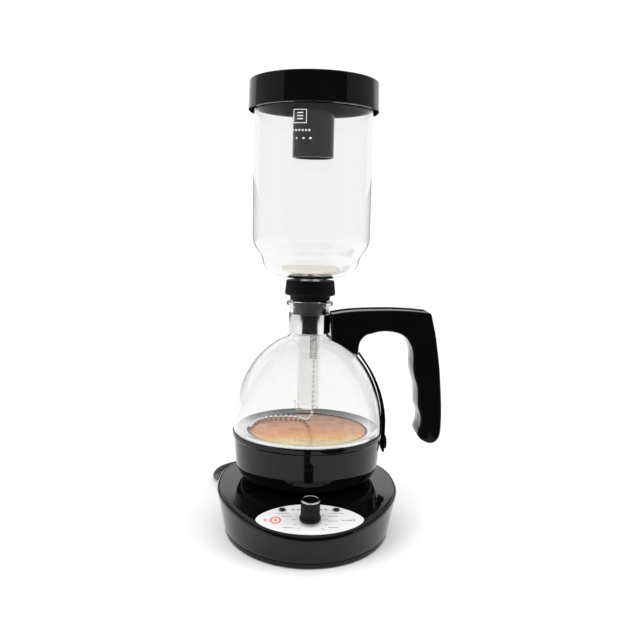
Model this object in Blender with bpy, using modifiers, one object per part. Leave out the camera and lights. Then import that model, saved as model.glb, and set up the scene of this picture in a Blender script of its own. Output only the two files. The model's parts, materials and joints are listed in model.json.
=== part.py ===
"""Electric siphon coffee maker: a cordless heated carafe with a glass globe, a glass brewing
chamber standing in its neck, and a round power base with a heat knob. Metres, +Z up, the
turning axis of the carafe on Z, the knob towards -Y and the handle towards +X."""

import math

import bmesh
import bpy
from mathutils import Matrix, Vector

MM = 0.001
GAP = 0.3 * MM  # clearance between pieces that touch
SEGMENTS = 32  # steps round a large turned piece
SMALL_SEGMENTS = 16  # steps round a small one

# Overall
TOTAL_HEIGHT = 391.0 * MM

# Power base
BASE_HALF_WIDTH = 80.0 * MM
BASE_FRONT = 97.0 * MM  # from the outline's centre to the front crease
BASE_BACK = 81.0 * MM
BASE_CENTRE_Y = -15.0 * MM
BASE_TOP = 40.3 * MM
BASE_DROP = 11.3 * MM  # fall of the top from the seat to the front crease
SLOPE_START_Y = -40.0 * MM
BASE_WALL = 2.4 * MM
FOOT_ACROSS = 0.92  # size of the foot of the wall against its crease, across and along
FOOT_ALONG = 0.945
COVER_BOTTOM = 1.5 * MM
COVER_TOP = 3.5 * MM
SOCKET_RADIUS = 16.5 * MM
FOOT_PLACES = [(side * 44.0 * MM, y) for y in (-64.0 * MM, 34.0 * MM) for side in (-1, 1)]
POST_PLACES = [(-60.0 * MM, -40.0 * MM), (60.0 * MM, -40.0 * MM), (30.0 * MM, 46.0 * MM)]

# Heat control
KNOB_Y = -94.0 * MM
KNOB_LEAN = math.radians(5.0)
KNOB_RADIUS = 7.8 * MM
KNOB_HEIGHT = 20.0 * MM
LABEL_HALF_WIDTH = 43.4 * MM
LABEL_FRONT = -109.0 * MM
LABEL_MIDDLE = -91.0 * MM
LABEL_BACK = -69.5 * MM
LAMP_X = 22.0 * MM
LAMP_Y = -78.0 * MM

# Carafe
POT_BOTTOM = 40.9 * MM
POT_RIM = 84.9 * MM
POT_RADIUS = 66.4 * MM
POT_RIM_RADIUS = 67.8 * MM
PLATE_TOP = 84.3 * MM
PLATE_RADIUS = 54.2 * MM
DOME_RADIUS = 67.0 * MM
DOME_HEIGHT = 83.0 * MM
DOME_CENTRE = 90.0 * MM
GLASS_WALL = 1.8 * MM
NECK_RADIUS = 17.3 * MM
NECK_TOP = 202.0 * MM
COLLAR_BOTTOM = 173.7 * MM
COLLAR_TOP = 191.0 * MM
COLLAR_RADIUS = 18.5 * MM
HANDLE_HALF_THICKNESS = 15.0 * MM
STRAP_HALF_WIDTH = 9.0 * MM
SADDLE_GAP = 0.7 * MM  # clearance of the handle's foot over the globe

# Brewing chamber
CHAMBER_RADIUS = 51.6 * MM
CHAMBER_TOP = 387.1 * MM
TUBE_RADIUS = 10.0 * MM
TUBE_WALL = 1.5 * MM
TUBE_BOTTOM = 105.0 * MM
STOPPER_TOP = 220.8 * MM
FILTER_BOTTOM = 227.0 * MM

# Lid
LID_RADIUS = 56.4 * MM
LID_BOTTOM = 366.0 * MM
LID_THICKNESS = 3.5 * MM
STEM_RADIUS = 18.0 * MM
STEM_BOTTOM = 326.0 * MM

# Mains cord
CORD_RADIUS = 3.2 * MM
COIL_CENTRE = (14.0 * MM, 136.0 * MM)
COIL_MEAN_RADIUS = 35.0 * MM
COIL_HALF_WIDTH = 6.8 * MM
COIL_HEIGHT = 13.2 * MM


def clear_scene():
    for obj in list(bpy.data.objects):
        bpy.data.objects.remove(obj, do_unlink=True)


clear_scene()
parts = bpy.data.collections.new("siphon_coffee_maker")
cutters = bpy.data.collections.new("cutters")
bpy.context.scene.collection.children.link(parts)
bpy.context.scene.collection.children.link(cutters)


# ---------------------------------------------------------------- materials


def material(name, colour, roughness, metallic=0.0, transmission=0.0):
    made = bpy.data.materials.new(name)
    made.use_nodes = True
    shader = made.node_tree.nodes["Principled BSDF"]
    shader.inputs["Base Color"].default_value = (*colour, 1.0)
    shader.inputs["Roughness"].default_value = roughness
    shader.inputs["Metallic"].default_value = metallic
    shader.inputs["Transmission Weight"].default_value = transmission
    return made


GLOSS_BLACK = material("gloss_black_plastic", (0.012, 0.012, 0.013), 0.12)
SATIN_BLACK = material("satin_black_plastic", (0.03, 0.03, 0.032), 0.45)
RUBBER_BLACK = material("black_rubber", (0.018, 0.018, 0.018), 0.7)
CORD_BLACK = material("cord_pvc", (0.02, 0.02, 0.02), 0.5)
CLEAR_GLASS = material("clear_glass", (0.95, 0.97, 0.97), 0.02, 0.0, 1.0)
POLISHED_STEEL = material("polished_steel", (0.72, 0.71, 0.7), 0.12, 1.0)
BROWNED_STEEL = material("browned_steel", (0.72, 0.5, 0.3), 0.3, 0.9)
BRASS = material("brass", (0.75, 0.55, 0.25), 0.3, 1.0)
FILTER_CLOTH = material("filter_cloth", (0.62, 0.47, 0.32), 0.95)
LABEL_SILVER = material("label_silver", (0.8, 0.81, 0.84), 0.35, 0.3)
LAMP_DARK = material("lamp_lens", (0.04, 0.01, 0.01), 0.1)
WHITE_CERAMIC = material("white_ceramic", (0.85, 0.84, 0.8), 0.4)
WIRE_BLUE = material("wire_blue", (0.05, 0.12, 0.5), 0.5)
WIRE_BROWN = material("wire_brown", (0.25, 0.1, 0.04), 0.5)


# ---------------------------------------------------------------- helpers


def add_object(name, mesh, finish, collection=None):
    obj = bpy.data.objects.new(name, mesh)
    (collection or parts).objects.link(obj)
    if finish:
        mesh.materials.append(finish)
    return obj


def hide(obj):
    obj.hide_render = True
    obj.display_type = "WIRE"
    return obj


def smooth(obj, angle=40.0):
    obj.data.shade_smooth()
    obj.data.set_sharp_from_angle(angle=math.radians(angle))
    return obj


def mesh_from_bmesh(name, shape):
    bmesh.ops.recalc_face_normals(shape, faces=shape.faces)
    mesh = bpy.data.meshes.new(name)
    shape.to_mesh(mesh)
    shape.free()
    return mesh


def turned(name, profile, finish, segments=SEGMENTS, collection=None):
    """A closed ring of (radius, z) points turned about Z. A point at radius 0 lies on the axis."""
    shape = bmesh.new()
    rings = []
    for radius, z in profile:
        if radius < 1e-7:
            rings.append([shape.verts.new((0.0, 0.0, z))])
            continue
        rings.append([
            shape.verts.new((
                radius * math.cos(2 * math.pi * i / segments),
                radius * math.sin(2 * math.pi * i / segments),
                z,
            ))
            for i in range(segments)
        ])
    for first, second in zip(rings, rings[1:] + rings[:1]):
        for i in range(segments):
            corners = [
                first[i % len(first)],
                first[(i + 1) % len(first)],
                second[(i + 1) % len(second)],
                second[i % len(second)],
            ]
            corners = list(dict.fromkeys(corners))
            if len(corners) > 2:
                shape.faces.new(corners)
    obj = add_object(name, mesh_from_bmesh(name, shape), finish, collection)
    return smooth(obj)


def place(obj, origin, axis=(0.0, 0.0, 1.0)):
    """Stands a piece modelled about Z on a point, with its +Z along an axis."""
    turn = Vector((0.0, 0.0, 1.0)).rotation_difference(Vector(axis)).to_matrix().to_4x4()
    obj.matrix_world = Matrix.Translation(origin) @ turn
    return obj


def cylinder(name, radius, bottom, top, finish=None, origin=(0, 0, 0), axis=(0, 0, 1),
             segments=SMALL_SEGMENTS):
    """A plain cylinder along an axis, from bottom to top measured from its origin."""
    collection = parts if finish else cutters
    shape = bmesh.new()
    bmesh.ops.create_cone(
        shape, cap_ends=True, segments=segments, radius1=radius, radius2=radius, depth=top - bottom,
        matrix=Matrix.Translation((0.0, 0.0, (top + bottom) / 2)),
    )
    obj = add_object(name, mesh_from_bmesh(name, shape), finish, collection)
    smooth(obj)
    if not finish:
        hide(obj)
    return place(obj, origin, axis)


def box(name, low, high, finish=None, edge=0.0):
    collection = parts if finish else cutters
    shape = bmesh.new()
    size = [b - a for a, b in zip(low, high)]
    middle = [(a + b) / 2 for a, b in zip(low, high)]
    bmesh.ops.create_cube(shape, size=1.0, matrix=Matrix.Translation(middle) @ Matrix.Diagonal((*size, 1.0)))
    if edge:
        bmesh.ops.bevel(shape, geom=shape.edges[:], offset=edge, segments=2, affect="EDGES", profile=0.5)
    obj = add_object(name, mesh_from_bmesh(name, shape), finish, collection)
    return obj if finish else hide(obj)


def boolean(target, cutter, operation="DIFFERENCE"):
    modifier = target.modifiers.new(operation.title(), "BOOLEAN")
    modifier.operation = operation
    modifier.object = cutter
    return target


def wire(name, points, radius, finish, resolution=2, radii=None):
    """A round wire through points, with flat ends."""
    curve = bpy.data.curves.new(name, "CURVE")
    curve.dimensions = "3D"
    curve.bevel_depth = radius
    curve.bevel_resolution = resolution
    curve.use_fill_caps = True
    spline = curve.splines.new("POLY")
    spline.points.add(len(points) - 1)
    for i, (point, place_at) in enumerate(zip(spline.points, points)):
        point.co = (*place_at, 1.0)
        point.radius = radii[i] if radii else 1.0
    obj = bpy.data.objects.new(name, curve)
    parts.objects.link(obj)
    curve.materials.append(finish)
    return obj


def smooth_path(guides, count):
    """Evenly spaced points on a Catmull-Rom curve through the guide points."""
    guides = [Vector(g) for g in guides]
    ends = [2 * guides[0] - guides[1]] + guides + [2 * guides[-1] - guides[-2]]
    fine = []
    for a, b, c, d in zip(ends, ends[1:], ends[2:], ends[3:]):
        for step in range(40):
            t = step / 40
            fine.append(0.5 * (2 * b + (c - a) * t + (2 * a - 5 * b + 4 * c - d) * t ** 2
                               + (3 * b - a - 3 * c + d) * t ** 3))
    fine.append(guides[-1])
    lengths = [0.0]
    for a, b in zip(fine, fine[1:]):
        lengths.append(lengths[-1] + (b - a).length)
    points, at = [], 0
    for i in range(count):
        wanted = lengths[-1] * i / (count - 1)
        while at < len(fine) - 2 and lengths[at + 1] < wanted:
            at += 1
        share = (wanted - lengths[at]) / max(lengths[at + 1] - lengths[at], 1e-9)
        points.append(fine[at].lerp(fine[at + 1], min(share, 1.0)))
    return points


def extruded(name, outline, low, high, finish, edge=0.0, edge_side=0, segments=2):
    """An (x, z) outline extruded along Y from low to high. edge rounds the face on edge_side."""
    shape = bmesh.new()
    verts = [shape.verts.new((x, low, z)) for x, z in outline]
    face = shape.faces.new(verts)
    made = bmesh.ops.extrude_face_region(shape, geom=[face])
    moved = [v for v in made["geom"] if isinstance(v, bmesh.types.BMVert)]
    bmesh.ops.translate(shape, verts=moved, vec=(0.0, high - low, 0.0))
    if edge:
        level = low if edge_side < 0 else high
        rim = [e for e in shape.edges if all(abs(v.co.y - level) < 1e-6 for v in e.verts)]
        bmesh.ops.bevel(shape, geom=rim, offset=edge, segments=segments, affect="EDGES", profile=0.5)
    bmesh.ops.triangulate(shape, faces=[f for f in shape.faces if len(f.verts) > 4])
    return smooth(add_object(name, mesh_from_bmesh(name, shape), finish), 50.0)


# ---------------------------------------------------------------- power base


def base_outline(angle, across, along):
    """Where the base's edge is at an angle: half an ellipse in front, half a squarer one behind."""
    power = 2.0 if math.sin(angle) < 0 else 2.6
    reach = BASE_FRONT if math.sin(angle) < 0 else BASE_BACK
    x = BASE_HALF_WIDTH * math.copysign(abs(math.cos(angle)) ** (2 / power), math.cos(angle))
    y = reach * math.copysign(abs(math.sin(angle)) ** (2 / power), math.sin(angle))
    return x * across, y * along + BASE_CENTRE_Y


def base_top(y):
    """Height of the base's top: flat under the carafe, then curving down to the front."""
    fall = max(0.0, SLOPE_START_Y - y) / (SLOPE_START_Y - BASE_CENTRE_Y + BASE_FRONT)
    return BASE_TOP - BASE_DROP * fall ** 2


def base_ring(shape, across, along, height_of, segments=40):
    ring = []
    for i in range(segments):
        x, y = base_outline(2 * math.pi * i / segments, across, along)
        ring.append(shape.verts.new((x, y, height_of(y))))
    return ring


def circle_ring(shape, radius, height_of, segments=40):
    ring = []
    for i in range(segments):
        angle = 2 * math.pi * i / segments
        x, y = radius * math.cos(angle), radius * math.sin(angle)
        ring.append(shape.verts.new((x, y, height_of(y))))
    return ring


def bridge(shape, rings):
    for first, second in zip(rings, rings[1:]):
        count = len(first)
        for i in range(count):
            shape.faces.new([first[i], first[(i + 1) % count], second[(i + 1) % count], second[i]])


SWIVEL_INNER = 33.0 * MM
SWIVEL_OUTER = 43.0 * MM
SWIVEL_DEPTH = 2.0 * MM


def make_base_housing():
    shape = bmesh.new()
    rings = [
        base_ring(shape, FOOT_ACROSS - 0.01, FOOT_ALONG - 0.01, lambda y: 1.0 * MM),
        base_ring(shape, FOOT_ACROSS, FOOT_ALONG, lambda y: 3.5 * MM),
        base_ring(shape, 0.988, 0.99, lambda y: base_top(y) - 6.0 * MM),
        base_ring(shape, 1.0, 1.0, lambda y: base_top(y) - 3.2 * MM),
        base_ring(shape, 0.993, 0.993, lambda y: base_top(y) - 1.0 * MM),
        base_ring(shape, 0.972, 0.972, base_top),
        base_ring(shape, 0.82, 0.82, base_top),
        circle_ring(shape, SWIVEL_OUTER + 4 * MM, base_top),
        circle_ring(shape, SWIVEL_OUTER + GAP, lambda y: BASE_TOP),
        circle_ring(shape, SWIVEL_OUTER + GAP, lambda y: BASE_TOP - SWIVEL_DEPTH),
        circle_ring(shape, SWIVEL_INNER - GAP, lambda y: BASE_TOP - SWIVEL_DEPTH),
        circle_ring(shape, SWIVEL_INNER - GAP, lambda y: BASE_TOP),
        circle_ring(shape, SOCKET_RADIUS + GAP, lambda y: BASE_TOP),
    ]
    bridge(shape, rings)
    housing = add_object("base_housing", mesh_from_bmesh("base_housing", shape), GLOSS_BLACK)
    solidify = housing.modifiers.new("Wall", "SOLIDIFY")
    solidify.thickness = BASE_WALL
    solidify.offset = -1.0
    solidify.use_even_offset = True
    for number, (x, y) in enumerate(POST_PLACES, 1):
        foot = (x, y, 0)
        post = cylinder(f"post_{number}", 4.5 * MM, 14.0 * MM, BASE_TOP - 1.2 * MM, None, foot)
        boolean(housing, post, "UNION")
        pilot = cylinder(f"post_pilot_{number}", 1.9 * MM, 10.0 * MM, 30.0 * MM, None, foot, segments=12)
        boolean(housing, pilot)
    return smooth(housing)


KNOB_AXIS = Vector((0.0, -math.sin(KNOB_LEAN), math.cos(KNOB_LEAN)))
KNOB_FOOT = Vector((0.0, KNOB_Y, base_top(KNOB_Y)))


def lens_edges(x):
    """The label's front and back edge at x: a lens with rounded ends."""
    share = max(0.0, 1.0 - (x / LABEL_HALF_WIDTH) ** 2)
    front = LABEL_MIDDLE + (LABEL_FRONT - LABEL_MIDDLE) * share ** 0.62
    back = LABEL_MIDDLE + (LABEL_BACK - LABEL_MIDDLE) * share ** 0.7
    return front, back


def make_label_plate():
    shape = bmesh.new()
    stations, strips, thickness = 14, 4, 0.8 * MM
    rings = []
    for i in range(stations + 1):
        x = -LABEL_HALF_WIDTH * 0.998 * math.cos(math.pi * i / stations)
        front, back = lens_edges(x)
        levels = [front + (back - front) * j / strips for j in range(strips + 1)]
        under = [(x, y, base_top(y) + GAP) for y in levels]
        over = [(x, y, base_top(y) + GAP + thickness) for y in reversed(levels)]
        rings.append([shape.verts.new(p) for p in under + over])
    bridge(shape, rings)
    shape.faces.new(rings[0])
    shape.faces.new(rings[-1])
    plate = add_object("label_plate", mesh_from_bmesh("label_plate", shape), LABEL_SILVER)
    boolean(plate, cylinder("label_shaft_hole", 3.7 * MM, -8 * MM, 12 * MM, None, KNOB_FOOT, KNOB_AXIS))
    for side in (-1, 1):
        boolean(plate, cylinder(f"label_lamp_hole_{side}", 2.9 * MM, 20 * MM, 50 * MM, None,
                                (side * LAMP_X, LAMP_Y, 0)))
    return plate


GLAND_FOOT = Vector((-57.0 * MM, 44.5 * MM, 13.0 * MM))
GLAND_AXIS = Vector((-0.6, 0.8, 0.0))
GLAND_LENGTH = 31.0 * MM


def cut_base_housing(housing):
    boolean(housing, cylinder("shaft_hole", 3.7 * MM, -8 * MM, 12 * MM, None, KNOB_FOOT, KNOB_AXIS))
    for side in (-1, 1):
        boolean(housing, cylinder(f"lamp_hole_{side}", 2.9 * MM, 20 * MM, 50 * MM, None,
                                  (side * LAMP_X, LAMP_Y, 0)))
    boolean(housing, cylinder("gland_hole", 6.0 * MM, -10 * MM, 10 * MM, None, GLAND_FOOT, GLAND_AXIS))


def make_base_cover():
    shape = bmesh.new()
    across, along = FOOT_ACROSS - 0.055, FOOT_ALONG - 0.05
    rings = [base_ring(shape, across, along, lambda y, z=z: z) for z in (COVER_BOTTOM, COVER_TOP)]
    bridge(shape, rings)
    shape.faces.new(rings[0])
    shape.faces.new(rings[1])
    cover = add_object("base_bottom_cover", mesh_from_bmesh("base_bottom_cover", shape), SATIN_BLACK)
    boolean(cover, cylinder("cover_boss", 14.0 * MM, 0.0, 2.5 * MM, segments=32), "UNION")
    for number, (x, y) in enumerate(POST_PLACES, 1):
        boolean(cover, cylinder(f"cover_hole_{number}", 3.6 * MM, -1 * MM, 6 * MM, None, (x, y, 0), segments=16))
        screw = turned(
            f"cover_screw_{number}",
            [(0, 1.7 * MM), (3.1 * MM, 1.7 * MM), (3.1 * MM, 4.2 * MM), (1.5 * MM, 4.2 * MM), (1.5 * MM, 16 * MM),
             (0, 17 * MM)],
            POLISHED_STEEL, 12,
        )
        screw.location = (x, y, 0)
    for number, (x, y) in enumerate(FOOT_PLACES, 1):
        foot = turned(
            f"base_foot_{number}",
            [(0, 0), (6.6 * MM, 0), (7.4 * MM, 0.5 * MM), (7.4 * MM, COVER_BOTTOM - GAP), (0, COVER_BOTTOM - GAP)],
            RUBBER_BLACK, 20,
        )
        foot.location = (x, y, 0)
    return smooth(cover)


def make_coupler_socket():
    low, flange, top, bore = 32.5 * MM, 35.3 * MM, 55.0 * MM, 4.2 * MM
    return turned("coupler_socket", [
        (0, low), (24 * MM, low), (24 * MM, flange), (SOCKET_RADIUS, flange), (SOCKET_RADIUS, top - 1 * MM),
        (SOCKET_RADIUS - 1 * MM, top), (bore, top), (bore, 43 * MM), (0, 43 * MM),
    ], SATIN_BLACK, 24)


def make_swivel_ring():
    low = BASE_TOP - SWIVEL_DEPTH + GAP
    top = POT_BOTTOM - GAP
    return turned("swivel_ring", [
        (SWIVEL_INNER, low), (SWIVEL_OUTER, low), (SWIVEL_OUTER, top), (SWIVEL_INNER, top),
    ], SATIN_BLACK)


def make_control():
    """The energy regulator under the panel, its shaft and nut, the knob and its cap, and the lamps."""
    body = turned("energy_regulator", [
        (0, -20 * MM), (10.5 * MM, -20 * MM), (11 * MM, -19 * MM), (11 * MM, -6.5 * MM), (3.3 * MM, -5.5 * MM),
        (3.3 * MM, 4 * MM), (2.3 * MM, 4 * MM), (2.3 * MM, -9 * MM), (0, -9 * MM),
    ], WHITE_CERAMIC, 20)
    shaft = cylinder("regulator_shaft", 2.0 * MM, -8.5 * MM, 17.5 * MM, BRASS, segments=16)
    nut = cylinder("regulator_nut", 5.4 * MM, 2.2 * MM, 4.0 * MM, BRASS, segments=6)
    boolean(nut, cylinder("nut_bore", 3.5 * MM, -5 * MM, 10 * MM, None, KNOB_FOOT, KNOB_AXIS))
    low = 2.8 * MM
    knob = turned("heat_knob", [
        (2.3 * MM, 18 * MM), (2.3 * MM, 4.6 * MM), (6.2 * MM, 4.6 * MM), (6.2 * MM, low),
        (KNOB_RADIUS + 0.9 * MM, low), (KNOB_RADIUS + 0.9 * MM, low + 2.6 * MM),
        (KNOB_RADIUS, low + 4.2 * MM), (KNOB_RADIUS, KNOB_HEIGHT - 0.6 * MM),
        (KNOB_RADIUS - 0.6 * MM, KNOB_HEIGHT), (KNOB_RADIUS - 1.5 * MM, KNOB_HEIGHT),
        (KNOB_RADIUS - 1.5 * MM, KNOB_HEIGHT - 1.2 * MM), (0, KNOB_HEIGHT - 1.2 * MM), (0, 18 * MM),
    ], SATIN_BLACK, 24)
    cap = turned("knob_cap", [
        (0, KNOB_HEIGHT - 0.9 * MM), (KNOB_RADIUS - 1.8 * MM, KNOB_HEIGHT - 0.9 * MM),
        (KNOB_RADIUS - 1.9 * MM, KNOB_HEIGHT - 0.1 * MM), (0, KNOB_HEIGHT + 0.3 * MM),
    ], GLOSS_BLACK, SMALL_SEGMENTS)
    for piece in (body, shaft, nut, knob, cap):
        place(piece, KNOB_FOOT, KNOB_AXIS)
    for side, name in ((-1, "heat_lamp"), (1, "power_lamp")):
        top = base_top(LAMP_Y)
        lamp = turned(name, [
            (0, top - 9 * MM), (2.4 * MM, top - 9 * MM), (2.5 * MM, top + 1.3 * MM), (1.8 * MM, top + 2.2 * MM),
            (0, top + 2.6 * MM),
        ], LAMP_DARK, 16)
        lamp.location = (side * LAMP_X, LAMP_Y, 0)


def make_wiring():
    """The terminal block and the leads between it, the regulator and the coupler socket."""
    box("terminal_block", (-40 * MM, 8 * MM, 5 * MM), (-22 * MM, 26 * MM, 15 * MM), SATIN_BLACK, 1 * MM)
    regulator = KNOB_FOOT - KNOB_AXIS * 20 * MM
    inlet = GLAND_FOOT - GLAND_AXIS * 9 * MM
    under = [(1000 * v.x, 1000 * v.y, 1000 * v.z) for v in (
        regulator + Vector((-4 * MM, 7 * MM, -1.8 * MM)),
        regulator + Vector((4 * MM, 7 * MM, -1.8 * MM)),
        inlet,
    )]
    routes = {
        "live_lead": ([
            (-33, 7.2, 10), (-34, -4, 9), (-30, -34, 8), (-12, -58, 9), (-5, -74, 10), under[0],
        ], WIRE_BROWN),
        "load_lead": ([
            under[1], (6, -66, 10), (8, -44, 12), (8, -18, 20), (8, -8, 27), (8, -6, 31.9),
        ], WIRE_BROWN),
        "neutral_lead": ([
            (-28, 7.2, 10), (-26, -1, 10), (-16, -4, 14), (-9, 0, 22), (-8, 0, 31.9),
        ], WIRE_BLUE),
        "supply_lead": ([
            under[2], (-46, 34, 12), (-35, 32, 10.2), (-33, 26.8, 10),
        ], CORD_BLACK),
    }
    for name, (guides, finish) in routes.items():
        wire(name, smooth_path([Vector(g) * MM for g in guides], 10), 1.2 * MM, finish, 1)


# ---------------------------------------------------------------- mains cord


def make_cord():
    gland = turned("cord_gland", [
        (CORD_RADIUS - 1.4 * MM, -8.4 * MM), (7.4 * MM, -8.4 * MM), (7.4 * MM, -6 * MM), (5.7 * MM, -6 * MM),
        (5.7 * MM, 2 * MM), (5.5 * MM, 6 * MM), (4.2 * MM, GLAND_LENGTH), (CORD_RADIUS - 1.4 * MM, GLAND_LENGTH),
    ], RUBBER_BLACK, SMALL_SEGMENTS)
    place(gland, GLAND_FOOT, GLAND_AXIS)
    exit_point = GLAND_FOOT + GLAND_AXIS * (GLAND_LENGTH + GAP)
    floor = CORD_RADIUS + 0.1 * MM
    cx, cy = COIL_CENTRE
    guides = [
        exit_point,
        exit_point + GLAND_AXIS * 6 * MM,
        (-84.6 * MM, 82.6 * MM, 10.2 * MM),
        (-88.8 * MM, 91.4 * MM, 6.2 * MM),
        (-91.3 * MM, 100.5 * MM, 3.9 * MM),
        (-91.8 * MM, 110.5 * MM, floor),
        (-90.2 * MM, 120.5 * MM, floor),
        (-85.8 * MM, 130.0 * MM, floor),
        (-78.2 * MM, 138.6 * MM, floor),
        (-66.0 * MM, 148.0 * MM, floor),
        (-50.0 * MM, 157.5 * MM, floor),
        (-32.0 * MM, 166.2 * MM, floor),
        (-13.2 * MM, 172.4 * MM, floor),
    ]
    wire("mains_cord", smooth_path(guides, 30), CORD_RADIUS, CORD_BLACK)
    inner, outer = COIL_MEAN_RADIUS - COIL_HALF_WIDTH, COIL_MEAN_RADIUS + COIL_HALF_WIDTH
    coil = turned("mains_cord_coil", [
        (inner, 2.5 * MM), (inner + 2.5 * MM, 0.1 * MM), (outer - 2.5 * MM, 0.1 * MM), (outer, 2.5 * MM),
        (outer, COIL_HEIGHT - 2.5 * MM), (outer - 2.5 * MM, COIL_HEIGHT), (inner + 2.5 * MM, COIL_HEIGHT),
        (inner, COIL_HEIGHT - 2.5 * MM),
    ], CORD_BLACK, 32)
    coil.location = (cx, cy, 0)
    plug_low = COIL_HEIGHT + GAP
    plug_axis = plug_low + 8.0 * MM
    tail = []
    for step in range(14):
        share = step / 13
        angle = math.radians(172.0 - 72.0 * share)
        rise = share * share * (3 - 2 * share)
        z = plug_low + CORD_RADIUS + (plug_axis - plug_low - CORD_RADIUS) * rise
        tail.append((cx + COIL_MEAN_RADIUS * math.cos(angle), cy + COIL_MEAN_RADIUS * math.sin(angle), z))
    wire("mains_cord_tail", tail, CORD_RADIUS, CORD_BLACK)
    end, before = Vector(tail[-1]), Vector(tail[-2])
    along = (end - before)
    along.z = 0.0
    along.normalize()
    plug = turned("mains_plug", [
        (0, GAP), (4.3 * MM, GAP), (5.6 * MM, 12 * MM), (10.5 * MM, 17 * MM), (11.3 * MM, 20 * MM),
        (11.3 * MM, 34 * MM), (10.3 * MM, 35 * MM), (0, 35 * MM),
    ], CORD_BLACK, 16)
    for vert in plug.data.vertices:
        vert.co.x = max(-8.0 * MM, min(8.0 * MM, vert.co.x))
    side = Vector((0, 0, 1)).cross(along)
    turn = Matrix((Vector((0, 0, 1)), side, along)).transposed().to_4x4()
    plug.matrix_world = Matrix.Translation(end) @ turn
    for number, offset in enumerate((-6.35 * MM, 6.35 * MM), 1):
        low = (-0.75 * MM, offset - 3.1 * MM, 35.3 * MM)
        high = (0.75 * MM, offset + 3.1 * MM, 51 * MM)
        pin = box(f"plug_pin_{number}", low, high, BRASS)
        pin.matrix_world = Matrix.Translation(end) @ turn


# ---------------------------------------------------------------- carafe


def make_pot():
    pot = turned("heater_pot", [
        (25.5 * MM, POT_BOTTOM), (51 * MM, POT_BOTTOM), (56 * MM, 42.3 * MM), (60.6 * MM, 45.4 * MM),
        (63.3 * MM, 49.6 * MM), (64.7 * MM, 55 * MM), (65.7 * MM, 63 * MM), (POT_RADIUS, 79.6 * MM),
        (67.2 * MM, 80.6 * MM), (POT_RIM_RADIUS, 81.8 * MM), (POT_RIM_RADIUS, POT_RIM - 0.6 * MM),
        (POT_RIM_RADIUS - 0.5 * MM, POT_RIM), (66.9 * MM, POT_RIM), (66.9 * MM, 81.2 * MM), (61.8 * MM, 81.2 * MM),
        (61.8 * MM, 60 * MM), (60.8 * MM, 52 * MM), (57.4 * MM, 46.8 * MM), (51 * MM, 43.3 * MM),
        (25.5 * MM, 43.3 * MM),
    ], GLOSS_BLACK)
    turned("coupler_plug", [
        (0, 45 * MM), (3 * MM, 45 * MM), (3 * MM, 58 * MM), (17.6 * MM, 58 * MM), (17.6 * MM, 41.3 * MM),
        (25.1 * MM, 41.3 * MM), (25.1 * MM, 43.6 * MM), (31 * MM, 43.6 * MM), (31 * MM, 45.6 * MM),
        (25.4 * MM, 45.6 * MM), (25.4 * MM, 62 * MM), (0, 62 * MM),
    ], SATIN_BLACK, 24)
    return pot


def make_heater():
    turned("heater_plate", [
        (0, 83 * MM), (52.4 * MM, 83 * MM), (52.8 * MM, 80 * MM), (60.4 * MM, 80 * MM), (60.4 * MM, 80.9 * MM),
        (PLATE_RADIUS, 80.9 * MM), (PLATE_RADIUS, PLATE_TOP - 0.6 * MM), (PLATE_RADIUS - 0.6 * MM, PLATE_TOP),
        (0, PLATE_TOP),
    ], BROWNED_STEEL)
    turned("seal_clamp_ring", [
        (54.6 * MM, 81.5 * MM), (66.5 * MM, 81.5 * MM), (66.5 * MM, 85.2 * MM), (64.8 * MM, 85.2 * MM),
        (64.6 * MM, 87.3 * MM), (63.9 * MM, 87.6 * MM), (55.2 * MM, 85.1 * MM), (54.6 * MM, 84.6 * MM),
    ], POLISHED_STEEL)
    ring, tube = 38 * MM, 3.2 * MM
    points = [
        (ring * math.cos(math.radians(a)), ring * math.sin(math.radians(a)), 83 * MM - GAP - tube)
        for a in range(-155, 156, 15)
    ]
    wire("heating_element", points, tube, POLISHED_STEEL, 2)
    turned("thermal_cutout", [
        (0, 72.5 * MM), (5 * MM, 72.5 * MM), (5 * MM, 75 * MM), (9 * MM, 75 * MM), (9 * MM, 82.6 * MM), (0, 82.6 * MM),
    ], WHITE_CERAMIC, SMALL_SEGMENTS)


def dome(radius, height, from_z, to_radius, steps):
    """Points up an ellipse of revolution from a height to where it has narrowed to a radius."""
    first = math.asin((from_z - DOME_CENTRE) / height)
    last = math.acos(to_radius / radius)
    angles = [first + (last - first) * i / steps for i in range(steps + 1)]
    return [(radius * math.cos(a), DOME_CENTRE + height * math.sin(a)) for a in angles]


def make_globe():
    outside = dome(DOME_RADIUS, DOME_HEIGHT, 85.5 * MM, 20.8 * MM, 7)
    inside = dome(DOME_RADIUS - GLASS_WALL, DOME_HEIGHT - GLASS_WALL, 85.5 * MM, 18.6 * MM, 7)
    bore = NECK_RADIUS - GLASS_WALL
    neck = [
        (18.1 * MM, 171 * MM), (NECK_RADIUS, 174 * MM), (NECK_RADIUS, 195.4 * MM),
        (20.2 * MM, 198.3 * MM), (20.6 * MM, 200.3 * MM), (18.6 * MM, NECK_TOP), (16.4 * MM, 201.6 * MM),
        (bore, 199 * MM), (bore, 174 * MM), (16.2 * MM, 170.6 * MM),
    ]
    turned("globe_glass", outside + neck + inside[::-1], CLEAR_GLASS)


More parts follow.
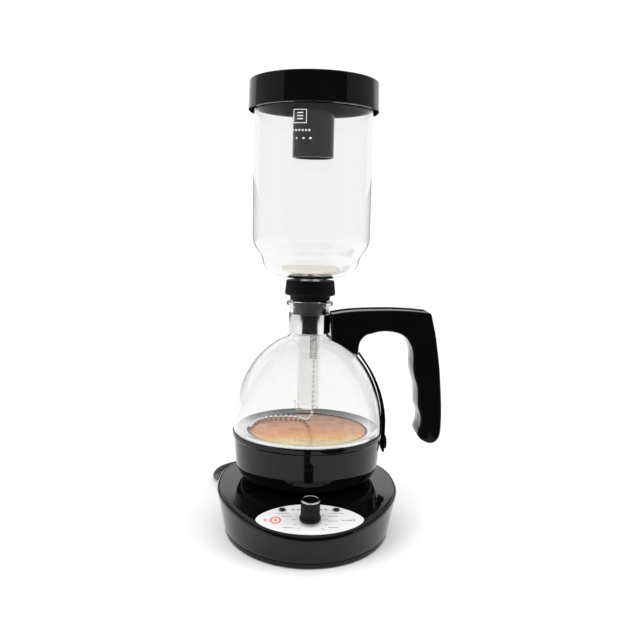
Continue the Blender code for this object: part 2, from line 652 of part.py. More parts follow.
HANDLE_OUTLINE = [  # from the collar along the top, down the grip, round its toe and back up the inside
    (18.9, 191.6), (28.4, 193.4), (37.6, 194.5), (46.8, 195.2), (56.0, 195.6), (65.3, 195.9), (74.5, 196.0),
    (83.8, 195.8), (93.2, 195.4), (100.6, 194.7), (105.6, 194.0), (107.3, 192.0), (109.3, 185.5),
    (111.9, 174.8), (113.8, 164.0), (115.8, 151.4), (117.2, 140.6), (118.2, 129.7), (119.3, 116.9),
    (120.0, 104.0), (120.1, 92.9), (119.7, 85.5), (118.5, 80.9), (116.2, 77.7), (113.6, 76.1), (110.8, 75.6),
    (106.6, 76.7), (101.9, 79.3), (99.1, 83.2), (99.4, 87.0), (101.0, 92.0), (101.3, 99.0), (100.0, 104.5),
    (98.4, 109.5), (98.1, 116.0), (97.7, 123.0), (96.7, 129.0), (95.0, 134.0), (93.5, 139.6), (92.7, 146.0),
    (92.7, 153.0), (92.1, 158.6), (90.6, 163.8), (88.1, 168.2), (86.0, 171.4), (81.4, 174.4), (76.1, 176.2),
    (70.7, 177.0), (65.4, 177.1), (60.1, 176.4), (54.8, 174.9), (50.0, 173.4), (46.6, 170.3), (44.4, 166.6),
    (43.7, 162.8), (43.3, 157.6), (43.0, 155.0), (36.0, 158.0), (27.0, 163.0), (18.9, 168.0),
]
HANDLE_SCREWS = [(30, 184.5), (96, 185.5), (109.5, 92)]


def make_handle():
    outline = [(x * MM, z * MM) for x, z in HANDLE_OUTLINE]
    inside, outside = GAP / 2, HANDLE_HALF_THICKNESS
    front = extruded("handle_front_half", outline, -outside, -inside, GLOSS_BLACK, 1.6 * MM, -1)
    rear = extruded("handle_rear_half", outline, inside, outside, GLOSS_BLACK, 1.6 * MM, 1)
    lug_pocket = box("lug_pocket", (17 * MM, -1.1 * MM, 176.4 * MM), (38.6 * MM, 1.1 * MM, 188.6 * MM))
    saddle_profile = dome(DOME_RADIUS + SADDLE_GAP, DOME_HEIGHT + SADDLE_GAP, 120 * MM, COLLAR_RADIUS + GAP, 10)
    saddle_profile += [(COLLAR_RADIUS + GAP, 195 * MM), (0, 195 * MM), (0, 120 * MM)]
    saddle = hide(turned("handle_saddle", saddle_profile, None, 48, cutters))
    for half in (front, rear):
        boolean(half, lug_pocket)
        boolean(half, saddle)
    for number, (x, z) in enumerate(HANDLE_SCREWS, 1):
        spot = (x * MM, 0, z * MM)
        boolean(front, cylinder(f"handle_pilot_{number}", 1.8 * MM, -6 * MM, 1 * MM, None, spot, (0, 1, 0), 12))
        boolean(rear, cylinder(f"handle_hole_{number}", 1.8 * MM, -1 * MM, 16 * MM, None, spot, (0, 1, 0), 12))
        boolean(rear, cylinder(f"handle_sink_{number}", 3.4 * MM, 11.6 * MM, 16 * MM, None, spot, (0, 1, 0), 16))
        screw = turned(f"handle_screw_{number}", [
            (0, -5.5 * MM), (1.5 * MM, -5 * MM), (1.5 * MM, 11.9 * MM), (3.1 * MM, 11.9 * MM),
            (3.1 * MM, 13.6 * MM), (2.3 * MM, 14.4 * MM), (0, 14.4 * MM),
        ], POLISHED_STEEL, 12)
        place(screw, spot, (0, 1, 0))


def make_collar():
    inner = NECK_RADIUS + GAP
    collar = turned("neck_collar", [
        (inner, COLLAR_BOTTOM), (COLLAR_RADIUS, COLLAR_BOTTOM), (COLLAR_RADIUS, COLLAR_TOP), (inner, COLLAR_TOP),
    ], POLISHED_STEEL)
    boolean(collar, box("collar_lug", (18 * MM, -0.8 * MM, 176.8 * MM), (38.2 * MM, 0.8 * MM, 188.2 * MM)), "UNION")
    x, z = HANDLE_SCREWS[0]
    boolean(collar, cylinder("collar_lug_hole", 1.8 * MM, -4 * MM, 4 * MM, None, (x * MM, 0, z * MM), (0, 1, 0), 12))
    return collar


STRAP_PATH = [
    (45.9, 154.3), (50.6, 147.6), (55.5, 140.3), (60.4, 130.7), (64.4, 120.7), (67.2, 110.6), (69.0, 100.2),
    (69.5, 92), (69.4, 84), (69.2, 76), (69.2, 65.6),
]
STRAP_THICKNESS = 1.8 * MM
STRAP_SCREW_Z = 72.6 * MM


def make_strap():
    path = [Vector((x * MM, 0.0, z * MM)) for x, z in STRAP_PATH]
    outer, inner = [], []
    for i, point in enumerate(path):
        along = (path[min(i + 1, len(path) - 1)] - path[max(i - 1, 0)]).normalized()
        away = Vector((-along.z, 0.0, along.x)) * STRAP_THICKNESS / 2
        outer.append(point + away)
        inner.append(point - away)
    outline = [(p.x, p.z) for p in outer + inner[::-1]]
    strap = extruded("globe_strap", outline, -STRAP_HALF_WIDTH, STRAP_HALF_WIDTH, GLOSS_BLACK)
    spot = (0, 0, STRAP_SCREW_Z)
    boolean(strap, cylinder("strap_screw_hole", 1.9 * MM, 60 * MM, 75 * MM, None, spot, (1, 0, 0), 12))
    spacer = turned("strap_spacer", [
        (1.9 * MM, 66.8 * MM), (3.8 * MM, 66.8 * MM), (3.8 * MM, 68.0 * MM), (1.9 * MM, 68.0 * MM),
    ], SATIN_BLACK, 16)
    screw = turned("strap_screw", [
        (0, 67.0 * MM), (1.5 * MM, 67.0 * MM), (1.5 * MM, 70.4 * MM), (6.3 * MM, 70.4 * MM), (6.3 * MM, 72.1 * MM),
        (5.5 * MM, 72.8 * MM), (0, 72.8 * MM),
    ], SATIN_BLACK, 20)
    for piece in (spacer, screw):
        place(piece, spot, (1, 0, 0))


# ---------------------------------------------------------------- brewing chamber


def make_chamber():
    wall = CHAMBER_RADIUS
    inner = CHAMBER_RADIUS - GLASS_WALL
    bore = TUBE_RADIUS - TUBE_WALL
    outside = [
        (wall, CHAMBER_TOP - 0.6 * MM), (wall, 258 * MM), (50.6 * MM, 252.2 * MM),
        (47.8 * MM, 247.2 * MM), (44.4 * MM, 242.8 * MM), (43.2 * MM, 239.8 * MM), (42.1 * MM, 235.8 * MM),
        (39.9 * MM, 231.6 * MM), (36.2 * MM, 228 * MM),
        (30.6 * MM, 225.2 * MM), (16 * MM, 221.9 * MM), (11.4 * MM, 221.2 * MM),
        (TUBE_RADIUS, 219.6 * MM), (TUBE_RADIUS, TUBE_BOTTOM),
    ]
    inside = [
        (bore, TUBE_BOTTOM), (bore, 220.6 * MM), (9.6 * MM, 222.8 * MM), (16 * MM, 223.8 * MM),
        (30 * MM, 226.9 * MM), (35.2 * MM, 229.5 * MM), (38.4 * MM, 232.6 * MM), (40.4 * MM, 236.5 * MM),
        (41.4 * MM, 240.4 * MM), (42.8 * MM, 243.8 * MM), (46.2 * MM, 248.2 * MM), (48.9 * MM, 252.8 * MM),
        (inner, 258 * MM),
        (inner, CHAMBER_TOP - 0.6 * MM), (inner + 0.5 * MM, CHAMBER_TOP), (wall - 0.5 * MM, CHAMBER_TOP),
    ]
    turned("chamber_glass", outside + inside, CLEAR_GLASS)
    turned("rubber_stopper", [
        (TUBE_RADIUS + GAP, 218.8 * MM), (12.8 * MM, STOPPER_TOP - 0.4 * MM), (20.2 * MM, STOPPER_TOP - 0.4 * MM),
        (21.4 * MM, STOPPER_TOP - 1.2 * MM), (22.5 * MM, 208.9 * MM), (21.9 * MM, 207.8 * MM),
        (18.6 * MM, 207.2 * MM),
        (17.9 * MM, 206 * MM), (17.6 * MM, 202.5 * MM), (15.8 * MM, 202.5 * MM), (15.0 * MM, 200.6 * MM),
        (14.8 * MM, 190 * MM), (14.1 * MM, 187.5 * MM),
        (TUBE_RADIUS + GAP, 187.5 * MM),
    ][::-1], RUBBER_BLACK, 28)


CHAIN_X = 4.4 * MM
BEAD_RADIUS = 1.6 * MM
BEAD_PITCH = 4.5 * MM
LINK_RADIUS = 0.55 * MM


def bead_chain(name, guides, beads):
    """Balls joined by short links along a path."""
    shares = ((-0.36, LINK_RADIUS), (-0.16, BEAD_RADIUS), (0.16, BEAD_RADIUS), (0.36, LINK_RADIUS))
    fine = smooth_path(guides, beads * 24 + 1)
    points, radii = [], []
    for bead in range(beads):
        for share, radius in shares:
            at = (bead + 0.5 + share) * 24
            low = min(int(at), len(fine) - 2)
            points.append(fine[low].lerp(fine[low + 1], at - low))
            radii.append(radius / BEAD_RADIUS)
    return wire(name, points, BEAD_RADIUS, POLISHED_STEEL, 0, radii)


def make_filter():
    turned("filter_disc", [
        (0, 228.2 * MM), (23.6 * MM, 228.2 * MM), (23.9 * MM, 229.2 * MM), (23.3 * MM, 230.2 * MM), (0, 230.3 * MM),
    ], POLISHED_STEEL, 24)
    turned("filter_cloth", [
        (0, 230.7 * MM), (23.6 * MM, 230.6 * MM), (24.7 * MM, 229.9 * MM), (24.6 * MM, 228.6 * MM),
        (23.6 * MM, 227.7 * MM), (19.5 * MM, 227.7 * MM), (19.5 * MM, FILTER_BOTTOM), (23.8 * MM, FILTER_BOTTOM), (25.4 * MM, 227.9 * MM),
        (26.1 * MM, 229.4 * MM), (25.4 * MM, 230.9 * MM), (23.7 * MM, 231.6 * MM), (0, 231.8 * MM),
    ], FILTER_CLOTH, 24)
    turned("filter_hub", [
        (0, 223 * MM), (2.4 * MM, 223 * MM), (3 * MM, 224 * MM), (3 * MM, 227.9 * MM), (0, 227.9 * MM),
    ], POLISHED_STEEL, 16)
    wire("filter_rod", smooth_path([(0, 0, 222.7 * MM), (0.5 * MM, 0, 214 * MM), (3.4 * MM, 0, 186 * MM),
                                    (CHAIN_X - 0.4 * MM, 0, 174.4 * MM)], 8), 0.7 * MM, POLISHED_STEEL, 1)
    turns, steps = 5, 9
    spring = []
    for i in range(turns * steps + 1):
        angle = 2 * math.pi * i / steps
        z = 173.6 * MM - 24.0 * MM * i / (turns * steps)
        spring.append((CHAIN_X - 0.4 * MM + 3.2 * MM * math.cos(angle), 3.2 * MM * math.sin(angle), z))
    wire("filter_spring", spring, 0.5 * MM, POLISHED_STEEL, 0)
    bead_chain("bead_chain", [(CHAIN_X, 0, 149 * MM), (CHAIN_X, 0, 130 * MM), (CHAIN_X, 0, 104 * MM)], 10)
    floor = PLATE_TOP + BEAD_RADIUS + 0.15 * MM
    bead_chain("chain_tail", [
        (CHAIN_X, 1.0 * MM, 101.0 * MM), (3.6 * MM, 6 * MM, 95 * MM), (2 * MM, 16 * MM, 89 * MM),
        (-2 * MM, 27 * MM, floor), (-9 * MM, 34 * MM, floor), (-20 * MM, 37 * MM, floor),
        (-32 * MM, 35 * MM, floor), (-42 * MM, 28.5 * MM, floor), (-48 * MM, 19 * MM, floor), (-51 * MM, 8 * MM, floor), (-52 * MM, -2 * MM, floor),
    ], 22)
    wire("chain_hook", smooth_path([
        (CHAIN_X - 0.2 * MM, 0, 102.6 * MM), (0, 0, 102.2 * MM), (-6 * MM, 0, 102.6 * MM), (-10 * MM, 0, 102.4 * MM),
        (-11.4 * MM, 0, 104.2 * MM), (-11.2 * MM, 0, 108.5 * MM), (-12.4 * MM, 0, 111 * MM),
    ], 18), 0.6 * MM, POLISHED_STEEL, 1)


def make_lid():
    turned("lid_cap", [
        (0, TOTAL_HEIGHT - LID_THICKNESS), (53 * MM, TOTAL_HEIGHT - LID_THICKNESS), (53.9 * MM, LID_BOTTOM),
        (LID_RADIUS - 0.4 * MM, LID_BOTTOM), (LID_RADIUS, LID_BOTTOM + 0.5 * MM), (55.8 * MM, TOTAL_HEIGHT - 1.7 * MM),
        (55.6 * MM, TOTAL_HEIGHT - 0.5 * MM), (54.4 * MM, TOTAL_HEIGHT), (0, TOTAL_HEIGHT),
    ], GLOSS_BLACK)
    top = TOTAL_HEIGHT - LID_THICKNESS - GAP
    turned("lid_stem", [
        (STEM_RADIUS - 2 * MM, STEM_BOTTOM), (STEM_RADIUS, STEM_BOTTOM), (STEM_RADIUS, top - 2 * MM),
        (21 * MM, top - 2 * MM), (21 * MM, top), (STEM_RADIUS - 2 * MM, top),
    ], GLOSS_BLACK, 28)


housing = make_base_housing()
cut_base_housing(housing)
make_base_cover()
make_coupler_socket()
make_swivel_ring()
make_label_plate()
make_control()
make_wiring()
make_cord()
make_pot()
make_heater()
make_globe()
make_handle()
make_collar()
make_strap()
make_chamber()
make_filter()
make_lid()
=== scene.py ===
"""Looks of an electric siphon coffee maker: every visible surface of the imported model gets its
finished shape and material here. Metres, +Z up, in the model's own frame."""

import json
import math

import bmesh
import bpy
from mathutils import Matrix, Vector


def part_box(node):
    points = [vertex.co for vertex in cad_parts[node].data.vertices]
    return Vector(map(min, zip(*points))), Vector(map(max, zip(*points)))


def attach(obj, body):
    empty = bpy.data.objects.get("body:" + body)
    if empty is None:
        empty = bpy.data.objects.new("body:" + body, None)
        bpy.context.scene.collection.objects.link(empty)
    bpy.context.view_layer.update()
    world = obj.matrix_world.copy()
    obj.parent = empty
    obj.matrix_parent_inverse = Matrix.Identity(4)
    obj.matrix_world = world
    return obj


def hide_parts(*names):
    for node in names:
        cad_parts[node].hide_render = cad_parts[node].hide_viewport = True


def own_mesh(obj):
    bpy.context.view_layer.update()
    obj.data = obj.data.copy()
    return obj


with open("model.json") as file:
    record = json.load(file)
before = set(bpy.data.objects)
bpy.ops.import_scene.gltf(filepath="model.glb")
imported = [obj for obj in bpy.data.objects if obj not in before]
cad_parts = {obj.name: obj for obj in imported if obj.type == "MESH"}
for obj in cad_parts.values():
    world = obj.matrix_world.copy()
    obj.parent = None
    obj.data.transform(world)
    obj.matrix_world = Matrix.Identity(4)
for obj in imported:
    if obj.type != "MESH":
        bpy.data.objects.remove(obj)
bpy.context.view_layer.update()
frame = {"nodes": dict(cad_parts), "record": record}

MM = 0.001
ROUND = 144  # steps round a large turned piece


# ---------------------------------------------------------------- camera, light and floor


def add_object(name, data):
    obj = bpy.data.objects.new(name, data)
    bpy.context.scene.collection.objects.link(obj)
    return obj


def make_camera():
    """A camera a little left of the front, looking slightly down, with a small roll."""
    data = bpy.data.cameras.new("camera")
    data.sensor_width = 36.0
    data.lens = 40.88
    data.clip_start = 0.01
    camera = add_object("camera", data)
    azimuth, pitch, roll = math.radians(-3.1), math.radians(7.084), math.radians(1.3)
    ahead = math.cos(pitch)
    forward = Vector((-math.sin(azimuth) * ahead, math.cos(azimuth) * ahead, -math.sin(pitch)))
    level = forward.cross(Vector((0, 0, 1))).normalized()
    above = level.cross(forward)
    right = level * math.cos(roll) + above * math.sin(roll)
    up = above * math.cos(roll) - level * math.sin(roll)
    camera.matrix_world = Matrix.Translation((-25.65 * MM, -646.9 * MM, 265.2 * MM)) @ Matrix(
        (right, up, -forward)).transposed().to_4x4()
    bpy.context.scene.camera = camera


def area_light(name, origin, target, size, power):
    data = bpy.data.lights.new(name, "AREA")
    data.shape = "RECTANGLE"
    data.size, data.size_y = size
    data.energy = power
    light = add_object(name, data)
    aim = (Vector(target) - Vector(origin)).to_track_quat("-Z", "Y").to_matrix().to_4x4()
    light.matrix_world = Matrix.Translation(origin) @ aim
    return light


def lying(*corners):
    """A card's corners just above the floor."""
    return [(x, y, 0.002) for x, y in corners]


def standing(x0, y0, x1, y1, low, high):
    """A wall card's corners, from its line on the floor plan and its two heights."""
    return [(x0, y0, low), (x1, y1, low), (x1, y1, high), (x0, y0, high)]


def make_studio():
    """A white sweep with dark and grey cards that only reflections see."""
    scene = bpy.context.scene
    scene.view_settings.view_transform = "Standard"
    world = bpy.data.worlds.new("studio")
    world.use_nodes = True
    world.node_tree.nodes["Background"].inputs["Color"].default_value = (1.0, 1.0, 1.0, 1.0)
    world.node_tree.nodes["Background"].inputs["Strength"].default_value = 1.06
    scene.world = world
    for name, origin, power in (("key_light", (-0.9, -0.9, 1.3), 9.0),
                                ("fill_light", (1.1, -0.5, 0.9), 5.0)):
        light = area_light(name, origin, (0, 0, 0.15), (0.9, 0.9), power)
        light.visible_glossy = False
        light.visible_transmission = False
    floor = new_mesh("studio_floor", [(-6, -6, 0), (6, -6, 0), (6, 6, 0), (-6, 6, 0)], [(0, 1, 2, 3)])
    floor.data.materials.append(FLOOR)
    cards = {
        "studio_dark_floor": (lying((-1.2, -1.3), (1.2, -1.3), (0.42, -0.40), (-0.42, -0.40)), DARK_CARD),
        "studio_dark_strip": (lying((-0.04, -0.42), (0.03, -0.42), (0.004, -0.165), (-0.016, -0.165)),
                              DARK_CARD),
        "studio_grip_card": (lying((0.10, -0.42), (0.42, -0.42), (0.28, -0.2), (0.10, -0.2)), DARK_CARD),
        "studio_dark_wall": (standing(-1.9, -1.3, 1.9, -1.3, 0, 2.2), DARK_CARD),
        "studio_back_wall": (standing(-2.4, 1.4, 2.4, 1.4, 0, 0.42), DARK_CARD),
        "studio_left_wall": (standing(-1.9, -1.3, -1.9, 1.3, 0.12, 1.8), GREY_CARD),
        "studio_right_wall": (standing(1.9, -1.3, 1.9, 1.3, 0.12, 1.8), GREY_CARD),
    }
    for name, (corners, finish) in cards.items():
        card = new_mesh(name, corners, [(0, 1, 2, 3)])
        card.data.materials.append(finish)
        card.visible_camera = False
        card.visible_diffuse = False
        card.visible_transmission = False
        card.visible_shadow = False


# ---------------------------------------------------------------- materials


class Nodes:
    """A material under construction: its node tree and shader, and short calls to add nodes."""

    def __init__(self, name, colour, roughness, **values):
        self.material = bpy.data.materials.new(name)
        self.material.use_nodes = True
        self.tree = self.material.node_tree
        self.shader = self.tree.nodes["Principled BSDF"]
        self.set("Base Color", (*colour, 1.0))
        self.set("Roughness", roughness)
        for key, value in values.items():
            self.set(key.replace("_", " "), value)
        self.object_space = self.tree.nodes.new("ShaderNodeTexCoord").outputs["Object"]

    def set(self, socket, value):
        self.shader.inputs[socket].default_value = value

    def link(self, source, socket):
        self.tree.links.new(source, self.shader.inputs[socket])

    def add(self, kind, inputs=(), **settings):
        node = self.tree.nodes.new(kind)
        for key, value in settings.items():
            setattr(node, key, value)
        for key, value in dict(inputs).items():
            if isinstance(value, bpy.types.NodeSocket):
                self.tree.links.new(value, node.inputs[key])
            else:
                node.inputs[key].default_value = value
        return node

    def noise(self, scale, detail=3.0, stretch=(1, 1, 1)):
        space = self.add("ShaderNodeMapping", {"Vector": self.object_space,
                                               "Scale": stretch}).outputs["Vector"]
        return self.add("ShaderNodeTexNoise", {"Vector": space, "Scale": scale,
                                               "Detail": detail}).outputs["Fac"]

    def span(self, value, low, high, start=0.0, end=1.0):
        """The value moved from start..end to low..high."""
        return self.add("ShaderNodeMapRange", {
            "Value": value, "From Min": start, "From Max": end, "To Min": low,
            "To Max": high}).outputs["Result"]

    def ramp(self, value, stops):
        node = self.add("ShaderNodeValToRGB", {"Fac": value})
        while len(node.color_ramp.elements) < len(stops):
            node.color_ramp.elements.new(0.5)
        for element, (position, colour) in zip(node.color_ramp.elements, stops):
            element.position = position
            element.color = (*colour, 1.0)
        return node.outputs["Color"]

    def mix(self, share, first, second):
        node = self.add("ShaderNodeMix", data_type="RGBA")
        for socket, value in ((node.inputs[0], share), (node.inputs[6], first), (node.inputs[7], second)):
            if isinstance(value, bpy.types.NodeSocket):
                self.tree.links.new(value, socket)
            else:
                socket.default_value = value if isinstance(value, float) else (*value, 1.0)
        return node.outputs[2]

    def bump(self, height, strength, distance=0.0005):
        node = self.add("ShaderNodeBump", {"Height": height, "Strength": strength, "Distance": distance})
        self.link(node.outputs["Normal"], "Normal")

    def axis(self, letter):
        return self.add("ShaderNodeSeparateXYZ", {"Vector": self.object_space}).outputs[letter]


def moulded(name, colour, roughness, grain, scale=900.0, **values):
    """Moulded plastic: faint tone changes, uneven polish and a fine surface grain."""
    made = Nodes(name, colour, roughness, **values)
    broad = made.noise(28.0)
    made.link(made.mix(broad, colour, tuple(c * 1.5 + 0.001 for c in colour)), "Base Color")
    made.link(made.span(made.noise(60.0, 5.0), roughness * 0.75, roughness * 1.4, 0.3, 0.7), "Roughness")
    made.bump(made.noise(scale, 2.0), grain)
    return made.material


def steel(name, colour, roughness, stretch):
    """Metal with fine drawn lines along one axis."""
    made = Nodes(name, colour, roughness, Metallic=1.0)
    lines = made.noise(400.0, 4.0, stretch)
    made.link(made.mix(lines, colour, tuple(c * 0.8 for c in colour)), "Base Color")
    made.link(made.span(lines, roughness * 0.6, roughness * 1.6, 0.3, 0.7), "Roughness")
    made.bump(lines, 0.04, 0.0002)
    return made.material


def glass(name):
    """Borosilicate glass, slightly wavy from blowing, with a breath of haze."""
    made = Nodes(name, (0.925, 0.93, 0.926), 0.0, IOR=1.38)
    made.set("Transmission Weight", 1.0)
    made.link(made.span(made.noise(22.0, 4.0), 0.0, 0.02, 0.45, 0.8), "Roughness")
    made.bump(made.noise(18.0, 1.0, (1, 1, 0.4)), 0.06, 0.001)
    return made.material


def coffee_film_painted_highlight():
    """A steel plate under a dried film of coffee: rosy behind, amber across the middle, cream in front; the
    cream front is painted highlight, colour that stands in for light the shiny plate reflects.
    """
    made = Nodes("coffee_film_painted_highlight", (0.6, 0.35, 0.2), 0.3, Metallic=0.6)
    across = made.span(made.axis("Y"), 0.0, 1.0, -0.054, 0.054)
    wander = made.span(made.noise(35.0, 4.0), -0.07, 0.07, 0.3, 0.7)
    along = made.add("ShaderNodeMath", {0: across, 1: wander}, operation="ADD").outputs[0]
    # Front-to-back ramp: the cream front stops are painted highlight laid over the coffee stain colours.
    base = made.ramp(along, [
        (0.0, (1.0, 0.80, 0.44)), (0.13, (1.0, 0.74, 0.33)), (0.27, (1.0, 0.48, 0.11)),
        (0.42, (0.82, 0.32, 0.09)), (0.62, (0.66, 0.27, 0.12)), (0.82, (0.54, 0.24, 0.13)),
        (1.0, (0.50, 0.30, 0.22)),
    ])
    distance = made.add("ShaderNodeVectorMath", {0: made.object_space}, operation="LENGTH").outputs["Value"]
    edge = made.span(distance, 0.0, 1.0, 0.0985, 0.1000)
    made.link(made.mix(edge, base, (0.20, 0.09, 0.04)), "Base Color")
    made.link(made.span(made.noise(90.0, 5.0), 0.15, 0.4, 0.3, 0.7), "Roughness")
    made.bump(made.noise(140.0, 4.0), 0.04)
    return made.material


def cloth():
    """White weave stained by coffee; its faint glow stands in for light that the glass lets through."""
    made = Nodes("woven_cloth", (0.60, 0.46, 0.32), 0.95)
    made.set("Sheen Weight", 0.3)
    weave = [
        made.add("ShaderNodeTexWave", {"Vector": made.object_space, "Scale": 700.0, "Distortion": 0.6},
                 bands_direction=direction).outputs["Fac"] for direction in ("X", "Y")
    ]
    threads = made.add("ShaderNodeMath", {0: weave[0], 1: weave[1]}, operation="MULTIPLY").outputs[0]
    stains = made.noise(120.0, 5.0)
    tone = made.mix(stains, (0.97, 0.94, 0.88), (0.82, 0.74, 0.64))
    made.link(tone, "Base Color")
    made.link(tone, "Emission Color")
    made.set("Emission Strength", 0.5)
    made.bump(threads, 0.5)
    return made.material


def pressed_label():
    """Satin white lacquer on metal foil, with faint brushing."""
    made = Nodes("label_foil", (0.82, 0.83, 0.87), 0.35)
    lines = made.noise(300.0, 3.0, (0.1, 3.0, 1.0))
    made.link(made.mix(lines, (0.82, 0.80, 0.81), (0.75, 0.74, 0.75)), "Base Color")
    made.link(made.span(lines, 0.25, 0.45, 0.3, 0.7), "Roughness")
    made.bump(lines, 0.05, 0.0001)
    return made.material


def ring_steel_painted_shade():
    """Pressed steel, bright in front and darkening to near black towards the back: the dark back is painted
    shade.
    """
    made = Nodes("ring_steel_painted_shade", (0.86, 0.86, 0.85), 0.16, Metallic=1.0)
    across = made.span(made.axis("Y"), 0.0, 1.0, -0.064, 0.064)
    wander = made.span(made.noise(40.0, 4.0), -0.04, 0.04, 0.3, 0.7)
    along = made.add("ShaderNodeMath", {0: across, 1: wander}, operation="ADD").outputs[0]
    # Front-to-back ramp: the dark grey stops at the back are painted shade, not a stain.
    made.link(made.ramp(along, [
        (0.0, (0.86, 0.86, 0.85)), (0.55, (0.78, 0.78, 0.77)), (0.75, (0.34, 0.34, 0.34)),
        (1.0, (0.12, 0.12, 0.12)),
    ]), "Base Color")
    lines = made.noise(400.0, 4.0, (1, 1, 8))
    made.link(made.span(lines, 0.1, 0.25, 0.3, 0.7), "Roughness")
    made.bump(lines, 0.04, 0.0002)
    return made.material


def printed(name, colour):
    """Ink with slightly uneven cover."""
    made = Nodes(name, colour, 0.5)
    paler = tuple(min(1.0, c * 1.25 + 0.03) for c in colour)
    made.link(made.mix(made.noise(500.0), colour, paler), "Base Color")
    return made.material


def floor_sweep():
    made = Nodes("floor_sweep", (0.93, 0.93, 0.93), 0.6)
    made.link(made.mix(made.noise(3.0), (0.99, 0.99, 0.99), (0.975, 0.975, 0.975)), "Base Color")
    made.set("Specular IOR Level", 0.2)
    return made.material


FLOOR = floor_sweep()
DARK_CARD = moulded("dark_card", (0.004, 0.004, 0.004), 0.9, 0.0)
GREY_CARD = moulded("grey_card", (0.30, 0.30, 0.30), 0.9, 0.0)
GLOSS_BLACK = moulded("polished_black", (0.0015, 0.0015, 0.0017), 0.06, 0.012, 1400.0, IOR=1.35)
SATIN_BLACK = moulded("satin_black", (0.002, 0.002, 0.0022), 0.32, 0.12, IOR=1.27)
RUBBER = moulded("black_rubber", (0.0015, 0.0015, 0.0015), 0.5, 0.2, 1200.0, IOR=1.22)
CORD = moulded("cord_sheath", (0.008, 0.008, 0.008), 0.42, 0.1, 1500.0)
HANDLE_BLACK = moulded("handle_black", (0.0015, 0.0015, 0.0017), 0.09, 0.012, 1400.0, IOR=1.25)
BEAD_STEEL = steel("bead_steel", (0.95, 0.95, 0.94), 0.08, (1, 1, 1))
STRAP_BLACK = moulded("strap_black", (0.002, 0.002, 0.0022), 0.6, 0.05, 1400.0, IOR=1.03)
GLASS = glass("blown_glass")
STEEL = steel("polished_steel", (0.74, 0.73, 0.72), 0.12, (1, 1, 12))
FINE_STEEL = steel("fine_steel", (0.78, 0.77, 0.76), 0.18, (1, 1, 1))
FILM_PAINTED_HIGHLIGHT = coffee_film_painted_highlight()
RING_STEEL_PAINTED_SHADE = ring_steel_painted_shade()
CLOTH = cloth()
LABEL = pressed_label()
GREY_INK = printed("grey_ink", (0.25, 0.25, 0.27))
RED_INK = printed("red_ink", (0.75, 0.16, 0.18))
WHITE_INK = printed("white_ink", (0.55, 0.55, 0.55))
LENS = moulded("lamp_lens", (0.02, 0.008, 0.008), 0.08, 0.02)
BRASS = steel("brass", (0.72, 0.52, 0.24), 0.3, (1, 1, 4))
CERAMIC = moulded("white_ceramic", (0.78, 0.77, 0.73), 0.45, 0.1)
BLUE_WIRE = moulded("blue_wire", (0.03, 0.1, 0.45), 0.45, 0.05)
BROWN_WIRE = moulded("brown_wire", (0.2, 0.08, 0.03), 0.45, 0.05)

SLOT_FINISHES = {  # the record's slots; the first finish of each is also for the model's own pieces
    "gloss_black_plastic": (GLOSS_BLACK, HANDLE_BLACK, STRAP_BLACK),
    "satin_black_plastic": (SATIN_BLACK,),
    "black_rubber": (RUBBER,),
    "cord_pvc": (CORD,),
    "clear_glass": (GLASS, WHITE_INK),
    "polished_steel": (FINE_STEEL, STEEL, RING_STEEL_PAINTED_SHADE, BEAD_STEEL),
    "browned_steel": (FILM_PAINTED_HIGHLIGHT,),
    "brass": (BRASS,),
    "filter_cloth": (CLOTH,),
    "label_silver": (LABEL, GREY_INK, RED_INK),
    "lamp_lens": (LENS,),
    "white_ceramic": (CERAMIC,),
    "wire_blue": (BLUE_WIRE,),
    "wire_brown": (BROWN_WIRE,),
}


# ---------------------------------------------------------------- making pieces


def new_mesh(name, points, faces):
    mesh = bpy.data.meshes.new(name)
    mesh.from_pydata(points, [], faces)
    return add_object(name, mesh)


def finish_piece(obj, body, finish, nodes=(), angle=35.0):
    """Gives a piece its material and shading, and puts it on its body in place of CAD nodes."""
    if obj.type == "MESH":
        shape = bmesh.new()
        shape.from_mesh(obj.data)
        bmesh.ops.recalc_face_normals(shape, faces=shape.faces)
        shape.to_mesh(obj.data)
        shape.free()
        obj.data.shade_smooth()
        obj.data.set_sharp_from_angle(angle=math.radians(angle))
    obj.data.materials.clear()
    obj.data.materials.append(finish)
    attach(obj, body)
    if nodes:
        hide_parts(*nodes)
    return obj


def arc_corner(before, corner, after, radius, steps=6):
    """Points that round a corner of an outline."""
    corner = Vector(corner)
    to_before, to_after = Vector(before) - corner, Vector(after) - corner
    angle = to_before.angle(to_after)
    reach = min(radius / math.tan(angle / 2), to_before.length * 0.49, to_after.length * 0.49)
    start = corner + to_before.normalized() * reach
    end = corner + to_after.normalized() * reach
    shares = [i / steps for i in range(steps + 1)]
    return [start.lerp(corner, t).lerp(corner.lerp(end, t), t) for t in shares]


def rounded(outline):
    """A closed outline of (a, b) or (a, b, radius) points with its corners rounded."""
    result = []
    count = len(outline)
    for i, point in enumerate(outline):
        if len(point) > 2 and point[2] > 0:
            result += arc_corner(outline[i - 1][:2], point[:2], outline[(i + 1) % count][:2], point[2])
        else:
            result.append(Vector(point[:2]))
    return result


def circle(radius, z, steps):
    """A level ring of points, from a radius and height in millimetres."""
    angles = [2 * math.pi * i / steps for i in range(steps)]
    return [(radius * MM * math.cos(a), radius * MM * math.sin(a), z * MM) for a in angles]


def from_bmesh(name, shape):
    mesh = bpy.data.meshes.new(name)
    shape.to_mesh(mesh)
    shape.free()
    return add_object(name, mesh)


def loft(name, rings, closed=False, caps=True):
    """Skins rings that have the same number of points."""
    count = len(rings[0])
    points = [p for ring in rings for p in ring]
    faces = []
    for level in range(len(rings) if closed else len(rings) - 1):
        low, high = level * count, (level + 1) % len(rings) * count
        for i in range(count):
            j = (i + 1) % count
            faces.append((low + i, low + j, high + j, high + i))
    if caps and not closed:
        faces += [tuple(reversed(range(count))), tuple(range(len(points) - count, len(points)))]
    return new_mesh(name, points, faces)


